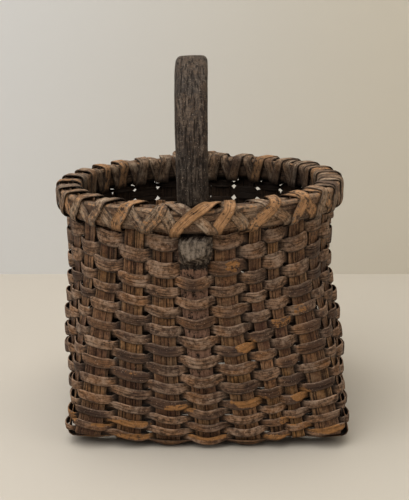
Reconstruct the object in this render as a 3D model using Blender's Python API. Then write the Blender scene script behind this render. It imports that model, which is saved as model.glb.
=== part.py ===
"""A small hand made splint basket with a fixed bail handle.

Seven flat wooden stakes run front to back and seven run left to right. They are
woven over and under each other as the base, then bent up as the uprights of the
wall. One stake is split at its front end, so the wall has an odd number of
uprights and a single line of weaver can climb it as a spiral, lapped from one
splint to the next. The tops of the uprights stand between an inner and an outer
hoop, and two narrow strips are lashed over the hoops in opposite directions. The
handle is one bent strap. Each of its ends goes down between an upright and the
outer hoop, hooks under that hoop with a carved knob, and ends as a thin tail that
the weaver holds against the upright.

Metres, +Z up, the front towards -Y, the origin on the ground under the middle.
"""

import math

import bmesh
import bpy
import numpy as np

# Clearances that stand for wood lying on wood, and for a splint lying on a twisted stake.
CLEARANCE = 0.0003
SPLINT_CLEARANCE = 0.0005

# Base and stakes.
STAKES_EACH_WAY = 7
BASE_HALF_WIDTH = 0.107
STAKE_THICKNESS = 0.0012
STAKE_WIDTH_AT_BASE = 0.019
STAKE_WIDTH_AT_RIM = 0.0155
BEND_RADIUS = 0.004
FLAT_MARGIN = 0.001
STAKE_STUB = 0.0015

# The stake that is split at its front end, counted from the middle one.
SPLIT_STAKE_NUMBER = 2
SPLIT_HALF_WIDTH = 0.0095
SPLIT_ROOT_SLIT = 0.0006
SPLIT_SLIT_AT_BASE = 0.0061
SPLIT_PITCH_SHARE = 0.68

# Wall. Each side swells outwards in its lower half, and the corners stand a little off the ground.
RIM_RADIUS = 0.1055
WAIST_DEPTH = 0.002
LEAST_WALL_RUNS = 5
TWIST_PER_RUN = 4.4
ROUNDING_SHARE = 1.5
OFFSET_SHARE = 4
SWELL_DEPTH = 0.0068
SWELL_TOP = 0.125
SWELL_SHARE = 1.5
CORNER_LIFT = 0.008

# Lean of the whole basket towards the left, and the tilt of its rim.
LEAN = 0.0156
LEAN_HEIGHT = 0.120
TILT_SHARE = 0.0344

# Weaver.
ROWS = 22
WEAVER_THICKNESS = 0.0009
ROW_GAP = 0.0004
LEAST_WEAVER_HEIGHT = 0.002
WEAVER_SPLINTS = 8
LAP_UPRIGHTS = 2
ROW_PITCH_SHARES = ((0.0, 0.7), (0.15, 0.75), (0.33, 1.0), (0.8, 1.0), (0.88, 1.4), (1.0, 1.4))

# Hoops.
RIM_TOP = 0.188
HOOP_HEIGHT = 0.018
HOOP_THICKNESS = 0.007
HOOP_CHAMFER = 0.0018
HOOP_STATIONS_PER_GAP = 2
SCARF_TIP = 0.0012
BULGE_SHARES = (1.0, 0.45, 0.12, 0.0)

# Lashing.
LASH_WIDTH = 0.0078
LASH_THICKNESS = 0.0009
LASH_CLEARANCE = 0.0004
LASH_ARCH = 0.004
LASH_PIECES = 2
LASH_START_POST = 4
LASH_SPAN_SHARE = 0.55
LOOP_GAP = 0.0006
MEASURED_POINTS_PER_SECTION = 3

# Handle.
HANDLE_TOP = 0.287
HANDLE_WIDTH = 0.0254
HANDLE_FOOT_WIDTH = 0.0226
HANDLE_THICKNESS = 0.0085
HANDLE_CHAMFER = 0.002
NECK_THICKNESS = 0.0045
KNOB_WIDTH = 0.0234
KNOB_THICKNESS = 0.0085
KNOB_HEIGHT = 0.022
KNOB_CHAMFER = 0.005
TAIL_THICKNESS = 0.0018
TAIL_WIDTH_AT_KNOB = 0.0182
TAIL_WIDTH_AT_END = 0.0165
TAIL_CHAMFER = 0.0005
TAIL_END_HEIGHT = 0.052
ARCH_STEPS = 20
ARCH_SQUARENESS_SHARE = 2.15

# Colours of the wood, with its roughness.
STAKE_COLOUR = (0.19, 0.115, 0.06)
WEAVER_COLOUR = (0.14, 0.1, 0.07)
HOOP_COLOUR = (0.17, 0.11, 0.065)
LASH_COLOUR = (0.27, 0.165, 0.075)
HANDLE_COLOUR = (0.11, 0.08, 0.055)
WOOD_ROUGHNESS = 0.75

# Heights and places that follow from the sizes.
STAKE_PITCH = 2 * BASE_HALF_WIDTH / STAKES_EACH_WAY
LOW_LEVEL = STAKE_THICKNESS / 2
HIGH_LEVEL = LOW_LEVEL + STAKE_THICKNESS + CLEARANCE
WALL_FOOT = HIGH_LEVEL + BEND_RADIUS
HOOP_BOTTOM = RIM_TOP - HOOP_HEIGHT
LASH_LAYER = LASH_THICKNESS + LASH_CLEARANCE
WEAVE_TOP = HOOP_BOTTOM - 2 * LASH_LAYER - CLEARANCE
WEAVER_OFFSET = (STAKE_THICKNESS + WEAVER_THICKNESS) / 2 + SPLINT_CLEARANCE
WEAVER_LAYER = WEAVER_THICKNESS + SPLINT_CLEARANCE
FACE_OF_STAKE = STAKE_THICKNESS / 2 + CLEARANCE
KNOB_TOP = WEAVE_TOP
KNOB_BOTTOM = KNOB_TOP - KNOB_HEIGHT
KNOB_INNER = WEAVER_OFFSET + WEAVER_THICKNESS / 2 + CLEARANCE
TAIL_OUTER = FACE_OF_STAKE + TAIL_THICKNESS
NECK_OUTER = FACE_OF_STAKE + NECK_THICKNESS
HANDLE_OUTER = FACE_OF_STAKE + HANDLE_THICKNESS
FOOT_ANGLE = math.atan((HANDLE_FOOT_WIDTH / 2 + CLEARANCE) / (RIM_RADIUS + NECK_OUTER))


def lean(points):
    """Leans and tilts the straight basket with height, and lifts the base's corners a little."""
    points = np.asarray(points, dtype=float)
    rise = np.clip(points[..., 2], 0, None) / LEAN_HEIGHT
    share = rise**2 / (1 + rise**2)
    cornered = np.abs(points[..., 0] * points[..., 1]) / BASE_HALF_WIDTH**2
    leaned = points.copy()
    leaned[..., 0] -= LEAN * share
    leaned[..., 2] += TILT_SHARE * points[..., 0] * share
    leaned[..., 2] += CORNER_LIFT * cornered**2 * np.clip(1 - points[..., 2] / HOOP_BOTTOM, 0, 1)
    return leaned


def make_material(name, colour):
    material = bpy.data.materials.new(name)
    material.use_nodes = True
    shader = material.node_tree.nodes["Principled BSDF"]
    shader.inputs["Base Color"].default_value = (*colour, 1.0)
    shader.inputs["Roughness"].default_value = WOOD_ROUGHNESS
    shader.inputs["Metallic"].default_value = 0.0
    material.diffuse_color = (*colour, 1.0)
    return material


def add_object(name, mesh_builder, material, parent):
    mesh = bpy.data.meshes.new(name)
    bmesh.ops.recalc_face_normals(mesh_builder, faces=mesh_builder.faces)
    mesh_builder.to_mesh(mesh)
    mesh_builder.free()
    mesh.materials.append(material)
    made = bpy.data.objects.new(name, mesh)
    made.parent = parent
    bpy.context.collection.objects.link(made)
    return made


def add_ring(builder, points):
    return [builder.verts.new(point) for point in lean(points)]


def join_rings(builder, first, second):
    count = len(first)
    for k in range(count):
        after = (k + 1) % count
        builder.faces.new((first[k], first[after], second[after], second[k]))


def add_strip(builder, rings, closed_start=True, closed_end=True):
    """Skins a row of rings into one solid and returns the first and the last ring."""
    made = [add_ring(builder, ring) for ring in rings]
    for first, second in zip(made, made[1:]):
        join_rings(builder, first, second)
    if closed_start:
        builder.faces.new(made[0])
    if closed_end:
        builder.faces.new(made[-1])
    return made[0], made[-1]


def band_ring(centre, side, out, half_width, half_thickness):
    """Four corners of a flat strip: side runs across it and out runs through it."""
    across = side * half_width
    through = out * half_thickness
    return [
        centre - across - through,
        centre + across - through,
        centre + across + through,
        centre - across + through,
    ]


def around(angle, middle):
    """Signed angle from middle to angle, by the short way."""
    return (angle - middle + math.pi) % (2 * math.pi) - math.pi


class Upright:
    """One upright of the wall: its line from the bend to the rim, with its faces' directions."""

    def __init__(self, foot, foot_normal, angle, width_at_base, width_at_rim):
        self.angle = angle
        self.width_at_base = width_at_base
        self.width_at_rim = width_at_rim
        foot_angle = math.atan2(foot_normal[0], -foot_normal[1])
        twist = math.degrees(abs(around(angle, foot_angle)))
        runs = max(LEAST_WALL_RUNS, math.ceil(twist / TWIST_PER_RUN))
        self.heights = np.linspace(WALL_FOOT, HOOP_BOTTOM, runs + 1)
        self.heights = np.append(self.heights, RIM_TOP + STAKE_STUB)
        share = (self.heights - WALL_FOOT) / (HOOP_BOTTOM - WALL_FOOT)
        share = np.clip(share, 0, 1)[:, None]
        rounding = 1 - (1 - share) ** ROUNDING_SHARE
        radial = np.array((math.sin(angle), -math.cos(angle)))
        foot = np.array(foot)
        turned = foot_angle + around(angle, foot_angle) * share
        self.normals = np.hstack((np.sin(turned), -np.cos(turned)))
        self.places = foot * (1 - rounding) + radial * RIM_RADIUS * rounding
        self.places = self.places - self.normals * WAIST_DEPTH * np.sin(math.pi * share)
        self.places[:, 0:1] += RIM_OFFSET * share**OFFSET_SHARE
        rise = np.clip((self.heights - WALL_FOOT) / (SWELL_TOP - WALL_FOOT), 0, 1)[:, None]
        outwards = self.places / BASE_HALF_WIDTH
        swell = outwards * (1 - outwards[:, ::-1] ** 2)
        self.places = self.places + SWELL_DEPTH * np.sin(math.pi * rise) ** SWELL_SHARE * swell

    def at(self, height):
        """Centre, outward normal and sideways direction at a height, as 3D vectors."""
        flat = [np.interp(height, self.heights, self.places[:, k]) for k in range(2)]
        normal = [np.interp(height, self.heights, self.normals[:, k]) for k in range(2)]
        normal = np.array((*normal, 0.0)) / math.hypot(*normal)
        side = np.array((-normal[1], normal[0], 0.0))
        return np.array((*flat, height)), normal, side

    def half_width(self, height):
        share = np.clip((height - WALL_FOOT) / (HOOP_BOTTOM - WALL_FOOT), 0, 1)
        return (self.width_at_base * (1 - share) + self.width_at_rim * share) / 2


def rim_angles():
    """Angle of each upright at the rim, with equal spaces but for the split pair."""
    steps = [1.0] * (4 * STAKES_EACH_WAY + 1)
    steps[SPLIT_STAKE_NUMBER] = SPLIT_PITCH_SHARE
    pitch = 2 * math.pi / sum(steps)
    right_side = pitch * sum(steps[: 2 * STAKES_EACH_WAY + 1])
    first = -(right_side - math.pi) / 2
    return [first + pitch * sum(steps[:k]) for k in range(len(steps))], pitch


def make_uprights():
    """All uprights in order, from the front one in the middle towards the right and round."""
    reach = STAKES_EACH_WAY // 2
    spread = (SPLIT_SLIT_AT_BASE + SPLIT_HALF_WIDTH) / 2
    places = []
    for a in range(reach + 1):
        shifts = (-spread, spread) if a == SPLIT_STAKE_NUMBER else (0.0,)
        for shift in shifts:
            places.append(((a * STAKE_PITCH + shift, -BASE_HALF_WIDTH), (0.0, -1.0), shift != 0))
    for b in range(-reach, reach + 1):
        places.append(((BASE_HALF_WIDTH, b * STAKE_PITCH), (1.0, 0.0), False))
    for a in range(reach, -reach - 1, -1):
        places.append(((a * STAKE_PITCH, BASE_HALF_WIDTH), (0.0, 1.0), False))
    for b in range(reach, -reach - 1, -1):
        places.append(((-BASE_HALF_WIDTH, b * STAKE_PITCH), (-1.0, 0.0), False))
    for a in range(-reach, 0):
        places.append(((a * STAKE_PITCH, -BASE_HALF_WIDTH), (0.0, -1.0), False))
    uprights = []
    for angle, (foot, normal, is_half) in zip(ANGLES, places):
        at_base = SPLIT_HALF_WIDTH if is_half else STAKE_WIDTH_AT_BASE
        at_rim = SPLIT_HALF_WIDTH if is_half else STAKE_WIDTH_AT_RIM
        uprights.append(Upright(foot, normal, angle, at_base, at_rim))
    return uprights


ANGLES, RIM_PITCH = rim_angles()
RIM_OFFSET = -RIM_RADIUS * math.sin(ANGLES[0])
# Flat uprights touch a round hoop at their edges, and the hoop is made of short straight runs.
FLAT_SAG = (STAKE_WIDTH_AT_RIM / 2) ** 2 / (2 * RIM_RADIUS)
HOOP_SAG = RIM_RADIUS * (1 - math.cos(RIM_PITCH / 2 / HOOP_STATIONS_PER_GAP))
HOOP_SEAT = FACE_OF_STAKE + FLAT_SAG + HOOP_SAG
UPRIGHTS = make_uprights()
UPRIGHT_COUNT = len(UPRIGHTS)
FRONT_MIDDLE = 0
BACK_MIDDLE = 2 * STAKES_EACH_WAY + 1
HANDLE_UPRIGHTS = (FRONT_MIDDLE, BACK_MIDDLE)


def upright_rings(upright, side_sign):
    """Rings of an upright from the bend to its top, with the stake's own sideways direction."""
    rings = []
    for height in upright.heights:
        centre, normal, side = upright.at(height)
        width = upright.half_width(height)
        rings.append(band_ring(centre, side * side_sign, normal, width, STAKE_THICKNESS / 2))
    return rings


def bend_rings(run, across, shift, end, level, half_width):
    """Rings of the bend from the flat base into the wall, without the one at the top."""
    rings = []
    for turn in (0.0, math.pi / 4):
        out = BASE_HALF_WIDTH - BEND_RADIUS + BEND_RADIUS * math.sin(turn)
        height = level + BEND_RADIUS * (1 - math.cos(turn))
        centre = run * end * out + across * shift + np.array((0, 0, height))
        normal = run * end * math.sin(turn) - np.array((0, 0, math.cos(turn)))
        rings.append(band_ring(centre, across, normal, half_width, STAKE_THICKNESS / 2))
    return rings


def bend_top_ring(run, across, shift, end, level, half_width):
    centre = run * end * BASE_HALF_WIDTH + across * shift + np.array((0, 0, level + BEND_RADIUS))
    return band_ring(centre, across, run * end, half_width, STAKE_THICKNESS / 2)


def base_level(own, crossed, is_front_to_back):
    is_low = (own + crossed) % 2 == 1
    if not is_front_to_back:
        is_low = not is_low
    return LOW_LEVEL if is_low else HIGH_LEVEL


def end_rings(run, across, shift, end, level, upright, side_sign):
    """One end of a stake from the flat base, round the bend and up to the rim."""
    width = upright.half_width(0)
    rings = bend_rings(run, across, shift, end, level, width)
    if level < HIGH_LEVEL:
        rings.append(bend_top_ring(run, across, shift, end, level, width))
    return rings + upright_rings(upright, side_sign)


def base_rings(run, across, own, is_front_to_back, crossings):
    """Rings of the flat part of a stake, over and under the stakes that it crosses."""
    rings = []
    half_width = STAKE_WIDTH_AT_BASE / 2
    reach = half_width + FLAT_MARGIN
    down = np.array((0.0, 0.0, -1.0))
    for crossed in crossings:
        level = base_level(own, crossed, is_front_to_back)
        is_at_corner = abs(own) == abs(crossed) == STAKES_EACH_WAY // 2
        for step in (-reach, 0.0, reach) if is_at_corner else (-reach, reach):
            along = crossed * STAKE_PITCH + step
            centre = run * along + across * own * STAKE_PITCH + np.array((0, 0, level))
            rings.append(band_ring(centre, across, down, half_width, STAKE_THICKNESS / 2))
    return rings


def make_stake(name, own, is_front_to_back, near, far, material, parent):
    """A whole stake: up one side of the wall, across the base and up the other side."""
    run = np.array((0.0, 1.0, 0.0)) if is_front_to_back else np.array((1.0, 0.0, 0.0))
    across = np.array((1.0, 0.0, 0.0)) if is_front_to_back else np.array((0.0, 1.0, 0.0))
    reach = STAKES_EACH_WAY // 2
    shift = own * STAKE_PITCH
    near_sign = 1 if is_front_to_back else -1
    near_level = base_level(own, -reach, is_front_to_back)
    far_level = base_level(own, reach, is_front_to_back)
    near_end = end_rings(run, across, shift, -1, near_level, near, near_sign)
    far_end = end_rings(run, across, shift, 1, far_level, far, -near_sign)
    middle = base_rings(run, across, own, is_front_to_back, range(-reach, reach + 1))
    builder = bmesh.new()
    add_strip(builder, near_end[::-1] + middle + far_end)
    return add_object(name, builder, material, parent)


def half_end_rings(own, end_shift, root_shift, root_along, upright):
    """One half of the split end, from its root in the base up to the rim."""
    run = np.array((0.0, 1.0, 0.0))
    across = np.array((1.0, 0.0, 0.0))
    reach = STAKES_EACH_WAY // 2
    level = base_level(own, -reach, True)
    centre_line = own * STAKE_PITCH
    start = reach * STAKE_PITCH + STAKE_WIDTH_AT_BASE / 2 + FLAT_MARGIN
    finish = reach * STAKE_PITCH - STAKE_WIDTH_AT_BASE / 2 - FLAT_MARGIN
    down = np.array((0.0, 0.0, -1.0))
    rings = []
    for along in (finish, start):
        share = (along - root_along) / (BASE_HALF_WIDTH - BEND_RADIUS - root_along)
        shift = centre_line + root_shift + (end_shift - root_shift) * share
        centre = run * -along + across * shift + np.array((0, 0, level))
        rings.append(band_ring(centre, across, down, SPLIT_HALF_WIDTH / 2, STAKE_THICKNESS / 2))
    return rings + end_rings(run, across, centre_line + end_shift, -1, level, upright, 1)


def make_split_stake(name, halves, far, material, parent):
    """The stake whose front end is split: two narrow uprights in front and a whole one behind."""
    own = SPLIT_STAKE_NUMBER
    run = np.array((0.0, 1.0, 0.0))
    across = np.array((1.0, 0.0, 0.0))
    reach = STAKES_EACH_WAY // 2
    shift = own * STAKE_PITCH
    root_along = (reach - 0.5) * STAKE_PITCH
    root_level = (base_level(own, -reach, True) + base_level(own, 1 - reach, True)) / 2
    root_shift = (SPLIT_ROOT_SLIT + SPLIT_HALF_WIDTH) / 2
    end_shift = (SPLIT_SLIT_AT_BASE + SPLIT_HALF_WIDTH) / 2
    far_end = end_rings(run, across, shift, 1, base_level(own, reach, True), far, -1)
    middle = base_rings(run, across, own, True, range(1 - reach, reach + 1))
    builder = bmesh.new()
    whole_start, _ = add_strip(builder, middle + far_end, closed_start=False)
    root = run * -root_along + across * shift + np.array((0, 0, root_level))
    down = np.array((0.0, 0.0, -1.0))
    left_root, right_root = [
        add_ring(
            builder,
            band_ring(root + across * place, across, down, SPLIT_HALF_WIDTH / 2, STAKE_THICKNESS / 2),
        )
        for place in (-root_shift, root_shift)
    ]
    # Corner order of a ring: inner left, inner right, outer right, outer left.
    a, b, c, d = whole_start
    la, lb, lc, ld = left_root
    ra, rb, rc, rd = right_root
    builder.faces.new((a, b, rb, ra, lb, la))
    builder.faces.new((d, c, rc, rd, lc, ld))
    builder.faces.new((a, d, ld, la))
    builder.faces.new((b, c, rc, rb))
    builder.faces.new((lb, lc, rd, ra))
    for root_ring, sign, upright in ((left_root, -1, halves[0]), (right_root, 1, halves[1])):
        rings = half_end_rings(own, sign * end_shift, sign * root_shift, root_along, upright)
        first, _ = add_strip(builder, rings, closed_start=False)
        join_rings(builder, root_ring, first)
    return add_object(name, builder, material, parent)


def make_stakes(material, parent):
    reach = STAKES_EACH_WAY // 2
    split_extra = 1
    for own in range(-reach, reach + 1):
        name = f"stake_front_to_back_{own + reach + 1}"
        near_at = own if own < SPLIT_STAKE_NUMBER else own + split_extra
        far = UPRIGHTS[BACK_MIDDLE - own]
        if own == SPLIT_STAKE_NUMBER:
            halves = (UPRIGHTS[own], UPRIGHTS[own + 1])
            make_split_stake(name, halves, far, material, parent)
        else:
            make_stake(name, own, True, UPRIGHTS[near_at % UPRIGHT_COUNT], far, material, parent)
    right_middle = STAKES_EACH_WAY + split_extra
    left_middle = 3 * STAKES_EACH_WAY + split_extra
    for own in range(-reach, reach + 1):
        name = f"stake_left_to_right_{own + reach + 1}"
        near = UPRIGHTS[left_middle - own]
        far = UPRIGHTS[right_middle + own]
        make_stake(name, own, False, near, far, material, parent)


def row_edges():
    """Height of the lower edge of the weaver after each whole turn."""
    places, shares = zip(*ROW_PITCH_SHARES)
    rows = (np.arange(ROWS) + 0.5) / ROWS
    pitches = np.interp(rows, places, shares)
    edges = np.concatenate(((0.0,), np.cumsum(pitches)))
    return WALL_FOOT + (WEAVE_TOP - WALL_FOOT) * edges / edges[-1]


ROW_EDGES = row_edges()


def edge_height(turns):
    """Lower edge of the spiral after a number of turns. It is level through its first turn."""
    return float(np.interp(turns, np.arange(1, ROWS + 2), ROW_EDGES))


def knob_bottom(at):
    """Lower end of the knob over an upright, moved off any row that passes outside there."""
    for turn in range(ROWS + 1):
        step = turn * UPRIGHT_COUNT + at
        low = edge_height(step / UPRIGHT_COUNT)
        high = edge_height(step / UPRIGHT_COUNT + 1)
        if step % 2 == 1 and low < KNOB_BOTTOM < high:
            return low - ROW_GAP
    return KNOB_BOTTOM


KNOB_BOTTOMS = {at: knob_bottom(at) for at in HANDLE_UPRIGHTS}


def tail_half_width(height):
    share = np.clip((KNOB_BOTTOM - height) / (KNOB_BOTTOM - TAIL_END_HEIGHT), 0, 1)
    return (TAIL_WIDTH_AT_KNOB * (1 - share) + TAIL_WIDTH_AT_END * share) / 2


def weaver_offset(step, low, high, lap):
    """Distance of the weaver's middle from the upright's middle, outwards at odd steps.

    In a lap the new splint lies one layer outside the old one.
    """
    outside = step % 2 == 1
    offset = WEAVER_OFFSET if outside else -WEAVER_OFFSET
    knob_end = KNOB_BOTTOMS.get(step % UPRIGHT_COUNT, 0.0)
    if outside and low < knob_end and high > TAIL_END_HEIGHT - CLEARANCE:
        offset += TAIL_THICKNESS + CLEARANCE
    if lap == "new" and outside:
        offset += WEAVER_LAYER
    if lap == "old" and not outside:
        offset -= WEAVER_LAYER
    return offset


def weaver_ring(step, end, lap):
    """Ring of the weaver at one edge of an upright, or nothing where it tapers away."""
    upright = UPRIGHTS[step % UPRIGHT_COUNT]
    spacing = 2 * math.pi * RIM_RADIUS / UPRIGHT_COUNT
    reach_share = (upright.half_width(HOOP_BOTTOM) + FLAT_MARGIN) / spacing
    turns = (step + end * reach_share) / UPRIGHT_COUNT
    low = edge_height(turns) + ROW_GAP / 2
    high = edge_height(turns + 1) - ROW_GAP / 2
    if high - low < LEAST_WEAVER_HEIGHT:
        return None
    offset = weaver_offset(step, low, high, lap)
    corners = []
    for height in (low, high):
        centre, normal, side = upright.at(height)
        reach = upright.half_width(height)
        if step % UPRIGHT_COUNT in HANDLE_UPRIGHTS:
            reach = max(reach, tail_half_width(height))
        edge = centre + side * end * (reach + FLAT_MARGIN)
        for through in (-WEAVER_THICKNESS / 2, WEAVER_THICKNESS / 2):
            corners.append(edge + normal * (offset + through))
    low_inner, low_outer, high_inner, high_outer = corners
    return [low_inner, low_outer, high_outer, high_inner]


def lap_meets_handle(start):
    return any((start + k) % UPRIGHT_COUNT in HANDLE_UPRIGHTS for k in range(-1, LAP_UPRIGHTS + 2))


def splice_steps():
    """First step of each splint, on a step inside the wall and away from the handle's ends."""
    first = math.ceil(UPRIGHT_COUNT / 3)
    last = UPRIGHT_COUNT * (ROWS + 1) - first
    starts = [first]
    for k in range(1, WEAVER_SPLINTS):
        start = first + round((last - first) * k / WEAVER_SPLINTS)
        start += start % 2
        while lap_meets_handle(start):
            start += 2
        starts.append(start)
    return starts, last


def make_weavers(material, parent):
    starts, last = splice_steps()
    for k, start in enumerate(starts):
        has_next = k + 1 < len(starts)
        finish = starts[k + 1] + LAP_UPRIGHTS if has_next else last
        rings = []
        for step in range(start, finish + 1):
            lap = ""
            if k > 0 and step <= start + LAP_UPRIGHTS:
                lap = "new"
            if has_next and step >= starts[k + 1]:
                lap = "old"
            for end in (-1, 1):
                ring = weaver_ring(step, end, lap)
                if ring is not None:
                    rings.append(ring)
        builder = bmesh.new()
        add_strip(builder, rings)
        add_object(f"weaver_{k + 1}", builder, material, parent)


def rim_point(angle, radial, height):
    """A point near the rim: radial counts outwards from the middle of the uprights."""
    radius = RIM_RADIUS + radial
    return np.array((RIM_OFFSET + radius * math.sin(angle), -radius * math.cos(angle), height))


def bulge(angle):
    """How far the outer hoop stands out at an angle: straight across the neck, then easing back."""
    nearest = min(abs(around(angle, ANGLES[k])) for k in HANDLE_UPRIGHTS)
    straight = RIM_RADIUS + NECK_OUTER + CLEARANCE
    most = straight / math.cos(min(nearest, FOOT_ANGLE)) - RIM_RADIUS - HOOP_SEAT
    steps = (FOOT_ANGLE, RIM_PITCH, 1.5 * RIM_PITCH, 2 * RIM_PITCH)
    return most * float(np.interp(nearest, steps, BULGE_SHARES))


def hoop_angles(start, count):
    """Angles along a hoop: uprights, middles between two of them, and the edges of the neck."""
    angles = []
    for k in range(count + 1):
        at = ANGLES[(start + k) % UPRIGHT_COUNT] + 2 * math.pi * ((start + k) // UPRIGHT_COUNT)
        after = ANGLES[(start + k + 1) % UPRIGHT_COUNT]
        after += 2 * math.pi * ((start + k + 1) // UPRIGHT_COUNT)
        angles.append(at)
        if k < count:
            angles.append((at + after) / 2)
        if (start + k) % UPRIGHT_COUNT in HANDLE_UPRIGHTS:
            angles += [at - FOOT_ANGLE, at + FOOT_ANGLE]
    return sorted(angles)


def hoop_ring(angle, flat, far, chamfer):
    """Six corners of a hoop: flat against the uprights and eased on its other side."""
    eased = far - math.copysign(chamfer, far - flat)
    return [
        rim_point(angle, flat, HOOP_BOTTOM),
        rim_point(angle, flat, RIM_TOP),
        rim_point(angle, eased, RIM_TOP),
        rim_point(angle, far, RIM_TOP - chamfer),
        rim_point(angle, far, HOOP_BOTTOM + chamfer),
        rim_point(angle, eased, HOOP_BOTTOM),
    ]


def make_hoop(name, direction, first, material, parent):
    """A bent strip round the uprights. Its two ends lie over each other in a long scarf."""
    builder = bmesh.new()
    rings = []
    angles = hoop_angles(first, UPRIGHT_COUNT + 1)
    lap_steps = HOOP_STATIONS_PER_GAP
    last = len(angles) - 1
    usable = HOOP_THICKNESS - CLEARANCE
    for k, angle in enumerate(angles):
        near = HOOP_SEAT + bulge(angle) if direction > 0 else FACE_OF_STAKE
        far = near + HOOP_THICKNESS
        if k <= lap_steps:
            far = near + SCARF_TIP + (usable - 2 * SCARF_TIP) * k / lap_steps
        if k >= last - lap_steps:
            share = (last - k) / lap_steps
            near = far - SCARF_TIP - (usable - 2 * SCARF_TIP) * share
        chamfer = min(HOOP_CHAMFER, (far - near) / 2)
        rings.append(hoop_ring(angle, direction * near, direction * far, chamfer))
    add_strip(builder, rings)
    return add_object(name, builder, material, parent)


def lash_posts():
    """Posts that the lashing crosses over, each with its angle, edges and what it carries."""
    posts = []
    for k in range(UPRIGHT_COUNT):
        if k == SPLIT_STAKE_NUMBER + 1:
            continue
        last = k + 1 if k == SPLIT_STAKE_NUMBER else k
        half = UPRIGHTS[k].width_at_rim / 2 / RIM_RADIUS
        has_handle = k in HANDLE_UPRIGHTS
        if has_handle:
            half = HANDLE_FOOT_WIDTH / 2 / RIM_RADIUS
        middle = (ANGLES[k] + ANGLES[last]) / 2
        posts.append((middle, ANGLES[k] - half, ANGLES[last] + half, has_handle))
    return posts


def lash_section(angle, half_angle, radial, height, tilt, layer, on_bulge=False):
    """A section across the strip. Tilt turns its thickness from outwards towards upwards."""
    out, up = math.cos(tilt), math.sin(tilt)
    stretch = 1 / max(abs(out), abs(up))
    ring = []
    for side, through in ((-1, 0), (1, 0), (1, 1), (-1, 1)):
        edge = angle + side * half_angle
        depth = (layer * LASH_LAYER + through * LASH_THICKNESS + CLEARANCE) * stretch
        stand = max(bulge(edge), bulge(angle)) if on_bulge else 0.0
        if stand > 0:
            stand += CLEARANCE + layer * LASH_THICKNESS
        ring.append(rim_point(edge, radial + stand + out * depth, height + up * depth))
    return ring


def gap_sections(angle, half_angle, beside_handle, layer, only_side=0):
    """Sections where a strip passes outwards between two uprights, under the hoops."""
    down = -math.pi / 2
    if only_side:
        return [lash_section(angle, half_angle, only_side * CLEARANCE, HOOP_BOTTOM, down, layer)]
    sections = [lash_section(angle, half_angle, 0.0, HOOP_BOTTOM, down, layer)]
    if beside_handle:
        outside_neck = NECK_OUTER + CLEARANCE
        sections.append(lash_section(angle, half_angle, outside_neck, HOOP_BOTTOM, down, layer))
    return sections


def outer_face_sections(low_angle, top_angle, low_half, top_half, layer):
    """Sections of a strip from under the outer hoop, slanting up its face to its top edge."""
    face = HOOP_SEAT + HOOP_THICKNESS
    span = abs(top_angle - low_angle) / RIM_PITCH
    pieces = math.ceil(span / LASH_SPAN_SHARE)
    sections = []
    for k in range(pieces + 1):
        share = k / pieces
        angle = low_angle + (top_angle - low_angle) * share
        half = low_half + (top_half - low_half) * share
        height = HOOP_BOTTOM + HOOP_HEIGHT * share
        tilt = math.pi / 4 * (int(share == 1) - int(share == 0))
        sections.append(lash_section(angle, half, face, height, tilt, layer, on_bulge=True))
    return sections


def lash_loop(post, before, after, direction, layer):
    """One loop over a post: up the outer face from one gap and down the inner face to the next."""
    middle, _, _, has_handle = post
    low_angle, _, _ = before
    end_angle, _, _ = after
    full = LASH_WIDTH / 2 / RIM_RADIUS
    top_angle, top_half = middle, full
    if has_handle:
        clear = CLEARANCE / RIM_RADIUS
        foot = HANDLE_FOOT_WIDTH / 2 / RIM_RADIUS + 2 * clear
        top_half = (RIM_PITCH - full - foot - LOOP_GAP / RIM_RADIUS) / 2
        top_angle = middle + direction * (foot + top_half)
    inner_face = -FACE_OF_STAKE - HOOP_THICKNESS
    sections = outer_face_sections(low_angle, top_angle, full, top_half, layer)
    crown = RIM_TOP + LASH_ARCH
    sections.append(lash_section(top_angle, top_half, 0.0, crown, math.pi / 2, layer))
    sections.append(lash_section(top_angle, top_half, inner_face, RIM_TOP, 3 * math.pi / 4, layer))
    sections.append(lash_section(end_angle, full, inner_face, HOOP_BOTTOM, -3 * math.pi / 4, layer))
    return sections


def least_gap_to_itself(rings):
    """Least distance between points of a strip that lie well apart along it."""
    rings = np.array(rings)
    shares = np.linspace(0, 1, MEASURED_POINTS_PER_SECTION, endpoint=False)
    spans = [rings[:-1] * (1 - share) + rings[1:] * share for share in shares]
    sections = np.stack(spans, axis=1).reshape(-1, *rings.shape[1:])
    middles = sections.mean(axis=1)
    steps = np.linalg.norm(np.diff(middles, axis=0), axis=1)
    along = np.repeat(np.concatenate(((0.0,), np.cumsum(steps))), sections.shape[1])
    points = sections.reshape(-1, 3)
    least = math.inf
    for place, point in zip(along, points):
        apart = points[along > place + LASH_WIDTH * 3]
        if len(apart):
            least = min(least, np.linalg.norm(apart - point, axis=1).min())
    return least


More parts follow.
